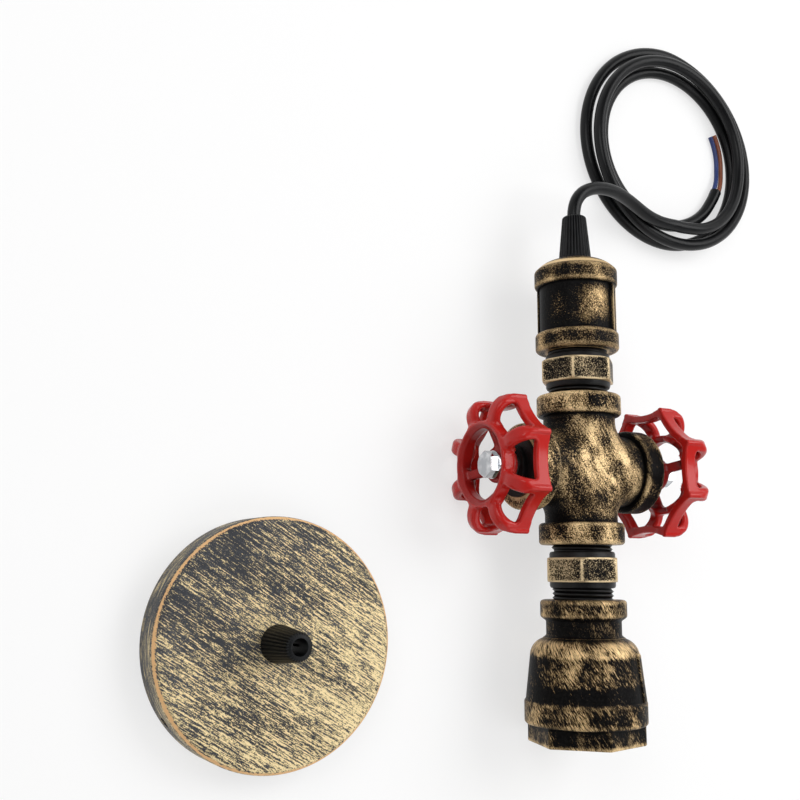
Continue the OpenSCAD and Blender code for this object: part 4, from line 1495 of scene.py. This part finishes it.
@dataclass
class Handwheel:
    """A cast handwheel: scalloped rim, bent fingers, inner ring, spokes and hub.

    A spoke's pairs of sizes are given at the hub first, and then at the ring.
    """

    side: Side
    axis_h: float = 29.2
    lobes: int = 8
    lobe_r: float = 1.4
    lobe_fillet: float = 0.5
    scallop: float = 4.5
    bite: float = 0.3
    rim_out: float = 39.8
    rim_w: float = 5.8
    rim_t: float = 3.2
    rim_round: float = 0.7
    finger_r: float = 10.0
    finger_rise: float = 2.9
    finger_t: float = 4.2
    finger_w: float = 6.2
    finger_round: float = 1.75
    finger_fillet: float = 1.8
    finger_foot: float = 0.6
    tip_in: float = 0.05
    tip_round: float = 0.8
    ring_d: float = 36.6
    ring_t: float = 3.2
    ring_w: float = 6.0
    ring_end: float = 53.1
    ring_round: float = 0.9
    ring_fillet: float = 1.6
    chamfer: float = 1.5
    spokes: int = 3
    spoke_w: float = 4.4
    spoke_t: float = 3.2
    spoke_round: float = 1.0
    spoke_sunk: tuple[float, float] = (0.5, 0.4)
    spoke_laps: tuple[float, float] = (1.0, 0.6)
    spoke_cuts: tuple[float, float] = (0.5, 0.8)
    hub_d: float = 15.4
    hub: tuple[float, float] = (38.3, 45.3)
    hub_fillet: float = 2.0
    web_fillet: float = 2.2
    journal_d: float = 8.1
    rough_r: float = 18.2
    rough_fade: float = 1.2
    cell: float = 0.42
    grid: tuple[Spot, Spot] = ((-32.4, -32.4, 36.2), (32.4, 32.4, 54.0))

    def _outline(self, r: Points, u: Points, v: Points) -> Points:
        """The scalloped outline's field.

        Args:
            r: Distance from the wheel's axis.
            u: Distance along the nearest lobe's direction.
            v: Distance across it.

        Returns:
            The field.
        """
        half = math.pi / self.lobes
        lobe_c = (self.axis_h - self.lobe_r) / math.cos(half)
        low = lobe_c + self.lobe_r - self.scallop
        inset = low - self.lobe_r + self.bite
        hollow_c = (lobe_c**2 - inset**2) / (2 * (lobe_c * math.cos(half) - inset))
        hollow = hollow_c - low - np.hypot(u - hollow_c * math.cos(half),
                                           np.abs(v) - hollow_c * math.sin(half))
        lobe = np.hypot(u - lobe_c, v) - self.lobe_r
        return blend(lobe, np.maximum(r - lobe_c, hollow), self.lobe_fillet)

    def _finger(self, outline: Points, u: Points, v: Points, z: Points) -> Points:
        """The bent finger's field, from a lobe of the rim over to the ring.

        Args:
            outline: The field of the outline that the finger stays inside.
            u: Distance along the nearest lobe's direction.
            v: Distance across it.
            z: Distance along the axis.

        Returns:
            The field.
        """
        tip = (self.axis_h - self.lobe_r) / math.cos(math.pi / self.lobes) + self.lobe_r
        bend_z, half = self.rim_out + self.finger_rise, self.finger_t / 2
        bent = np.hypot(u - (tip - self.finger_r), z - bend_z) - (self.finger_r - half)
        middle = np.where(z > bend_z, bent, u - (tip - half))
        arch = bar(np.abs(middle) - half, np.abs(v) - self.finger_w / 2, self.finger_round)
        arch = -blend(-arch, -outline - self.tip_in, self.tip_round)
        foot = self.rim_out - self.rim_w / 2 + self.finger_foot - z
        reach = self.ring_d / 2 - self.ring_t + self.ring_round - u
        return np.maximum(np.maximum(arch, foot), reach)

    def _spokes(self, r: Points, angle: Points, z: Points) -> Points:
        """The field of the sloped spokes between the hub and the ring.

        Args:
            r: Distance from the wheel's axis.
            angle: The angle round it.
            z: Distance along it.

        Returns:
            The field.
        """
        wide = 2 * math.pi / self.spokes
        first = 2 * math.pi / self.lobes + (0.0 if self.side is Side.NEAR else math.pi / 2)
        turn = (angle - first + wide / 2) % wide - wide / 2
        u, v = r * np.cos(turn), r * np.sin(turn)
        low = self.hub[1] - self.spoke_sunk[0] - self.spoke_t / 2
        high = self.ring_end - self.ring_w + self.spoke_sunk[1] + self.spoke_t / 2
        inner, outer = self.hub_d / 2 - self.spoke_laps[0], self.ring_d / 2 - self.ring_t
        slope = (high - low) / (outer + self.spoke_laps[1] - inner)
        off = np.abs(z - low - slope * (u - inner)) - self.spoke_t / 2
        spoke = bar(np.abs(v) - self.spoke_w / 2, off / math.hypot(1.0, slope), self.spoke_round)
        ends = np.maximum(u - outer - self.spoke_cuts[1], inner - self.spoke_cuts[0] - u)
        return np.maximum(spoke, ends)

    def depth(self, x: Points, y: Points, z: Points) -> Points:
        """The whole casting's field.

        Args:
            x: Across the wheel.
            y: Across the wheel.
            z: Along its axis, from the lamp's axis.

        Returns:
            The field.
        """
        r, angle = np.hypot(x, y), np.arctan2(y, x)
        step, half = 2 * math.pi / self.lobes, self.ring_t / 2
        turn = angle % step - step / 2
        u, v = r * np.cos(turn), r * np.sin(turn)
        ring = bar(np.abs(r - self.ring_d / 2 + half) - half,
                   np.abs(z - self.ring_end + self.ring_w / 2) - self.ring_w / 2, self.ring_round)
        bevel = z - self.ring_end + self.chamfer - r + self.ring_d / 2 - self.ring_t
        ring = np.maximum(ring, bevel / math.sqrt(2.0))
        hub = bar(r - self.hub_d / 2,
                  np.abs(z - sum(self.hub) / 2) - (self.hub[1] - self.hub[0]) / 2, self.ring_round)
        outline = self._outline(r, u, v)
        rim = bar(np.abs(outline + self.rim_t / 2) - self.rim_t / 2,
                  np.abs(z - self.rim_out) - self.rim_w / 2, self.rim_round)
        finger = self._finger(outline, u, v, z)
        outer = np.maximum(blend(rim, finger, self.finger_fillet), outline)
        inner = blend(hub, self._spokes(r, angle, z), self.hub_fillet)
        inner = blend(inner, ring, self.ring_fillet)
        return np.maximum(blend(outer, inner, self.web_fillet), self.journal_d / 2 - r)

    def build(self, bench: Bench, rack: Rack) -> bpy.types.Object:
        """Casts and enamels the wheel.

        Args:
            bench: The part's frames.
            rack: The finishes.

        Returns:
            The wheel.
        """
        points, faces = CastSkin(*self.grid, self.cell).draw(self.depth)
        obj = Shape.piece(f"handwheel_casting_{self.side.value}", bench.wheel(points, self.side),
                          faces, rack.enamel)
        inwards = self.rough_r - np.hypot(points[:, 0], points[:, 1])
        Shape.note(obj, "rough_cast", np.clip(inwards / self.rough_fade, 0.0, 1.0))
        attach(obj, f"{self.side.value}_wheel")
        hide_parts(f"handwheel_{self.side.value}")
        return obj


@dataclass
class WheelFittings:
    """Spindles, washers and screws of the two handwheels."""

    steel: tuple[str, ...] = ("spindle_near", "spindle_far")
    chrome: tuple[str, ...] = ("wheel_washers", "wheel_screws")

    def build(self, rack: Rack) -> None:
        """Dresses the fittings.

        Args:
            rack: The finishes.
        """
        for name in self.steel:
            paint(name, rack.steel)
        for name in self.chrome:
            paint(name, rack.chrome)


@dataclass
class LampHolder:
    """The ceramic holder in the bell, with its rolled brass thread."""

    shell_d: float = 27.5
    shell: tuple[float, float] = (93.6, 110.6)
    pitch: float = 3.63
    inset: float = 1.0
    ridge_out: float = 0.35
    ridge_deep: float = 0.95
    ridge_sides: int = 10

    def build(self, bench: Bench, rack: Rack) -> None:
        """Dresses the holder and winds the socket's thread.

        Args:
            bench: The part's frames.
            rack: The finishes.
        """
        paint("holder_body", rack.glaze)
        for name in ("screw_shell", "centre_contact"):
            paint(name, rack.brass)
        for name in ("holder_plate", "holder_tube", "holder_nut", "terminal_screws"):
            paint(name, rack.steel)
        start, end = self.shell[0] + self.inset, self.shell[1] - self.inset
        ridge = ThreadTurns("socket_thread", self.shell_d / 2 + self.ridge_out, self.ridge_deep,
                            self.pitch, start, (end - start) / self.pitch, self.ridge_sides)
        obj = ridge.build(bench, rack.brass)
        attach(obj, "lamp")
        LOG.info("socket thread: %d faces", len(obj.data.polygons))


@dataclass
class Cord:
    """The cord from the lamp's grip to its loose coil, with its bared cores.

    The coil's ends are in turns from its start, and its rates in millimetres for each turn.
    """

    diameter: float = 6.0
    core_d: float = 2.4
    core_apart: float = 1.65
    core_len: float = 34.0
    core_bend_r: float = 34.0
    core_land: float = 16.0
    core_low: float = -1.5
    core_in: float = 3.0
    core_rows: int = 25
    grip_tip: Spot = (-116.5, 0.0, 29.2)
    lead: tuple[Spot, ...] = (
        (-88, 0, 29.2), (-101, 0, 29.2), (-113, 0, 29.2), (-119, 0, 29.2), (-124.5, 1.5, 29.2),
        (-129, 5, 29), (-132, 10, 28.5), (-134, 16, 27.7), (-135, 24, 26.3), (-135, 32, 24),
        (-134, 40, 21.4), (-132.5, 47, 19.2), (-131, 53, 17.6), (-130, 58, 16.5),
        (-129.5, 62, 15.8), (-129.2, 66, 15.2), (-129.1, 71, 14.8))
    coil_c: tuple[float, float] = (-173.0, 82.0)
    coil_in_r: float = 44.0
    out_end: float = 1.0
    drop_end: float = 1.5
    settle: float = 0.25
    out_rate: float = 7.0
    drop_rate: float = 8.0
    in_rate: float = 10.4
    turns: float = 3.16
    top_z: float = 9.8
    low_z: float = 3.0
    rise: float = 5.0
    rings: int = 24
    aside: float = 0.002
    step: float = 1.7
    sides: int = 18
    core_sides: int = 12

    def _at(self, t: float) -> Points:
        """A point of the coil.

        Args:
            t: Turns from the coil's start.

        Returns:
            The point.
        """
        drop = self.drop_end - self.out_end
        r = (self.coil_in_r + self.out_rate * min(t, self.out_end)
             + self.drop_rate * min(max(t - self.out_end, 0.0), drop)
             - self.in_rate * max(t - self.drop_end, 0.0))
        z = (self.top_z + self.rise * (1.0 - ease(t / self.settle))
             - (self.top_z - self.low_z) * ease((t - self.out_end) / drop))
        a = 2 * math.pi * t
        return np.array([self.coil_c[0] + r * math.cos(a), self.coil_c[1] + r * math.sin(a), z])

    def route(self) -> Points:
        """The cord's line from inside the grip to the end of its jacket.

        Returns:
            Points in millimetres.
        """
        steps = math.ceil(self.turns * self.rings)
        coil = [self._at(self.turns * i / steps) for i in range(steps + 1)]
        first, last = coil[0] - self._at(self.aside), coil[-1] - self._at(self.turns - self.aside)
        head = coil[0] + first / np.linalg.norm(first) * self.diameter
        tail = coil[-1] + last / np.linalg.norm(last) * self.diameter
        return np.vstack([np.array(self.lead), head, np.array(coil), tail])

    def core(self, route: Points, side: float) -> Points:
        """A bared core's line.

        Args:
            route: The cord's line.
            side: 1 for the core on the coil's inside, -1 for the other.

        Returns:
            Points in millimetres.
        """
        end, t = route[-1], route[-1] - route[-2]
        t = t / np.linalg.norm(t)
        u, r = np.array([-t[1], t[0], 0.0]), self.core_bend_r - side * self.core_apart
        points = []
        for a in np.linspace(-self.core_in, self.core_len, self.core_rows):
            w = a / self.core_bend_r
            drop = (0.0, 0.0, self.core_low * ease(a / self.core_land))
            bend = u * self.core_bend_r + t * r * math.sin(w) - u * r * math.cos(w)
            points.append(end + bend + drop)
        return np.array(points)

    def build(self, bench: Bench, rack: Rack) -> bpy.types.Object:
        """Args:
            bench: The part's frames; not used.
            rack: The finishes.

        Returns:
            The jacket.
        """
        route = self.route()
        line = Shape.curve(route, self.step)
        jacket = Shape.tube("cord_jacket", line, self.diameter / 2, self.sides, rack.jacket)
        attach(jacket, "lamp")
        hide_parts("cord_lead", "cord_coil")
        for colour, side, finish in (("brown", -1.0, rack.brown), ("blue", 1.0, rack.blue)):
            core = Shape.tube(f"{colour}_core_tail", self.core(route, side), self.core_d / 2,
                              self.core_sides, finish)
            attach(core, "lamp")
            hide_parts(f"{colour}_core_end")
            paint(f"{colour}_wire", finish)
        return jacket


@dataclass
class CordGrip:
    """A cord grip: its stem, and a cap with fine flutes round it."""

    place: Place
    height: float = 21.0
    foot_r: float = 7.4
    tip_r: float = 5.5
    flutes: int = 30
    flute_deep: float = 0.55
    chamfer: float = 0.8
    lip: float = 1.0
    foot_edge: float = 0.2
    flute_from: float = 0.4
    flute_fade: float = 1.4
    flute_power: float = 1.4
    tip_flute: float = 0.45
    crisp: float = 40.0
    foot_rows: tuple[float, ...] = (0.0, 0.2, 0.5, 0.9, 1.4, 2.0)
    wall_rows: tuple[float, float, int] = (4.0, 19.4, 6)
    tip_rows: tuple[float, ...] = (1.0, 0.6, 0.25, 0.0)
    lamp_foot: float = -95.5
    canopy_foot: Spot = (70.0, -70.8, 17.8)
    bore: tuple[tuple[float, float], ...] = (
        (3.3, 21.0), (3.3, 12.3), (4.7, 12.3), (4.7, 1.3), (6.0, 1.3), (6.0, 0.0))

    def _mesh(self) -> tuple[Points, list[list[int]]]:
        """The cap, drawn from its foot upwards.

        Returns:
            Points round the cap's axis, with heights over its foot, and faces.
        """
        a = np.arange(8 * self.flutes) * math.pi / 4 / self.flutes
        groove = (0.5 - 0.5 * np.cos(self.flutes * a)) ** self.flute_power
        heights = [*self.foot_rows, *np.linspace(*self.wall_rows)]
        heights += [self.height - h for h in self.tip_rows]
        rows = [(self.bore[-1][0], 0.0)]
        for h in heights:
            up = min(h / (self.height - self.lip), 1.0)
            wall = self.foot_r + (self.tip_r - self.foot_r) * up
            wall -= self.chamfer * max(h - self.height + self.lip, 0.0) ** 2
            wall -= max(0.0, self.foot_edge - h)
            deep = self.flute_deep * min(max((h - self.flute_from) / self.flute_fade, 0.0), 1.0)
            deep *= 1.0 if h < self.height - self.flute_from else self.tip_flute
            rows.append((wall - deep * groove, h))
        rows += self.bore
        points = np.vstack([Shape.ring(radius, a, h) for radius, h in rows])
        return points, Shape.rings(len(rows), len(a))

    def build(self, bench: Bench, rack: Rack) -> bpy.types.Object:
        """Builds the cap and dresses the stem.

        Args:
            bench: The part's frames.
            rack: The finishes.

        Returns:
            The cap.
        """
        points, faces = self._mesh()
        if self.place is Place.LAMP:
            points = bench.lamp(points * (1.0, -1.0, -1.0) + (0.0, 0.0, self.lamp_foot))
        else:
            points = (points + self.canopy_foot) * MM
        name = self.place.value
        obj = Shape.piece(f"{name}_fluted_cap", points, faces, rack.grip, self.crisp)
        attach(obj, f"{name}_cap")
        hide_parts(f"{name}_grip_cap")
        paint(f"{name}_grip_stem", rack.grip)
        return obj


@dataclass
class Canopy:
    """The ceiling canopy and the bracket that it covers."""

    steel: tuple[str, ...] = ("canopy_nut", "canopy_bracket")

    def build(self, rack: Rack) -> None:
        """Dresses the canopy and its bracket.

        Args:
            rack: The finishes.
        """
        paint("canopy_shell", rack.canopy)
        for name in self.steel:
            paint(name, rack.steel)


@dataclass(frozen=True)
class SoftLight:
    """A square soft light, with its places and side in metres and its power in watts."""

    name: str
    place: Spot
    size: float
    power: float
    target: Spot = (0.0, 0.0, 0.03)

    def build(self) -> None:
        """Adds the light and points it at its target."""
        light = bpy.data.lights.new(self.name, "AREA")
        light.size, light.energy = self.size, self.power
        turn = (Vector(self.place) - Vector(self.target)).to_track_quat("Z", "Y").to_matrix()
        obj = Shape.put(self.name, light)
        obj.matrix_world = Matrix.Translation(self.place) @ turn.to_4x4()


@dataclass
class Studio:
    """The floor, the white room, the soft lights and the camera, placed in metres."""

    place: Spot = (0.042246, -0.22727, 0.40251)
    right: Spot = (-0.00296185, 0.87866714, 0.47742568)
    up: Spot = (-0.98728181, -0.07845801, 0.13827136)
    back: Spot = (0.15895237, -0.47094415, 0.86772447)
    lens: float = 47.65
    sensor: float = 36.0
    clip: tuple[float, float] = (0.01, 20.0)
    floor_size: float = 6.0
    floor_drop: float = 0.2 * MM
    world: float = 0.40
    ceiling: float = 0.16
    dome: tuple[float, float] = (0.12, 0.75)
    lights: tuple[SoftLight, ...] = (
        SoftLight("key", (-0.30, 0.55, 0.80), 0.7, 6.0),
        SoftLight("fill", (0.55, 0.35, 0.75), 0.6, 2.0),
        SoftLight("front", (-0.35, -0.55, 0.75), 0.5, 2.4))

    def _floor(self) -> None:
        """Lays the floor just under the part."""
        half, low = self.floor_size / 2, -self.floor_drop
        corners = [[-half, -half, low], [half, -half, low], [half, half, low], [-half, half, low]]
        floor = Shape.piece("floor", corners, [[0, 1, 2, 3]], FloorFinish().material())

    def _world(self) -> None:
        """Lights the room evenly, and shows it white at the sides and darker overhead."""
        world = bpy.data.worlds.new("studio")
        bpy.context.scene.world = world
        world.use_nodes = True
        board = Board(world.node_tree)
        where = board.node("ShaderNodeTexCoord").outputs["Generated"]
        height = board.node("ShaderNodeSeparateXYZ", None, {0: where}).outputs["Z"]
        dome = board.node("ShaderNodeMapRange", {"interpolation_type": "SMOOTHSTEP"}, {
            "Value": height, "From Min": self.dome[0], "From Max": self.dome[1],
            "To Min": 1.0, "To Max": self.ceiling}).outputs["Result"]
        lit = board.node("ShaderNodeBackground", None, {"Color": WHITE, "Strength": self.world})
        shown = board.node("ShaderNodeBackground", None, {"Color": WHITE, "Strength": dome})
        both = board.node("ShaderNodeMixShader", None, {
            0: board.seen(), 1: lit.outputs[0], 2: shown.outputs[0]})
        board.node("ShaderNodeOutputWorld", None, {"Surface": both.outputs[0]})

    def _camera(self) -> None:
        """Sets the camera up where the photograph was taken from."""
        data = bpy.data.cameras.new("camera")
        data.lens, data.sensor_width = self.lens, self.sensor
        data.clip_start, data.clip_end = self.clip
        camera = Shape.put("camera", data)
        turn = Matrix((self.right, self.up, self.back)).transposed().to_4x4()
        camera.matrix_world = Matrix.Translation(self.place) @ turn
        bpy.context.scene.camera = camera

    def build(self) -> None:
        """Builds the studio."""
        bpy.context.scene.view_settings.view_transform = "Standard"
        self._floor()
        self._world()
        for light in self.lights:
            light.build()
        self._camera()


def main() -> None:
    """Builds the scene in order."""
    logging.basicConfig(level=logging.INFO, format="%(message)s")
    bench, rack = Bench(), Rack()
    Studio().build()
    Cord().build(bench, rack)
    LampBody().build(bench, rack)
    for side in Side:
        wheel = Handwheel(side).build(bench, rack)
        LOG.info("%s: %d faces", wheel.name, len(wheel.data.polygons))
    WheelFittings().build(rack)
    LampHolder().build(bench, rack)
    Canopy().build(rack)
    for place in Place:
        cap = CordGrip(place).build(bench, rack)
        LOG.info("%s: %d faces", cap.name, len(cap.data.polygons))


if __name__ == "__main__":
    main()
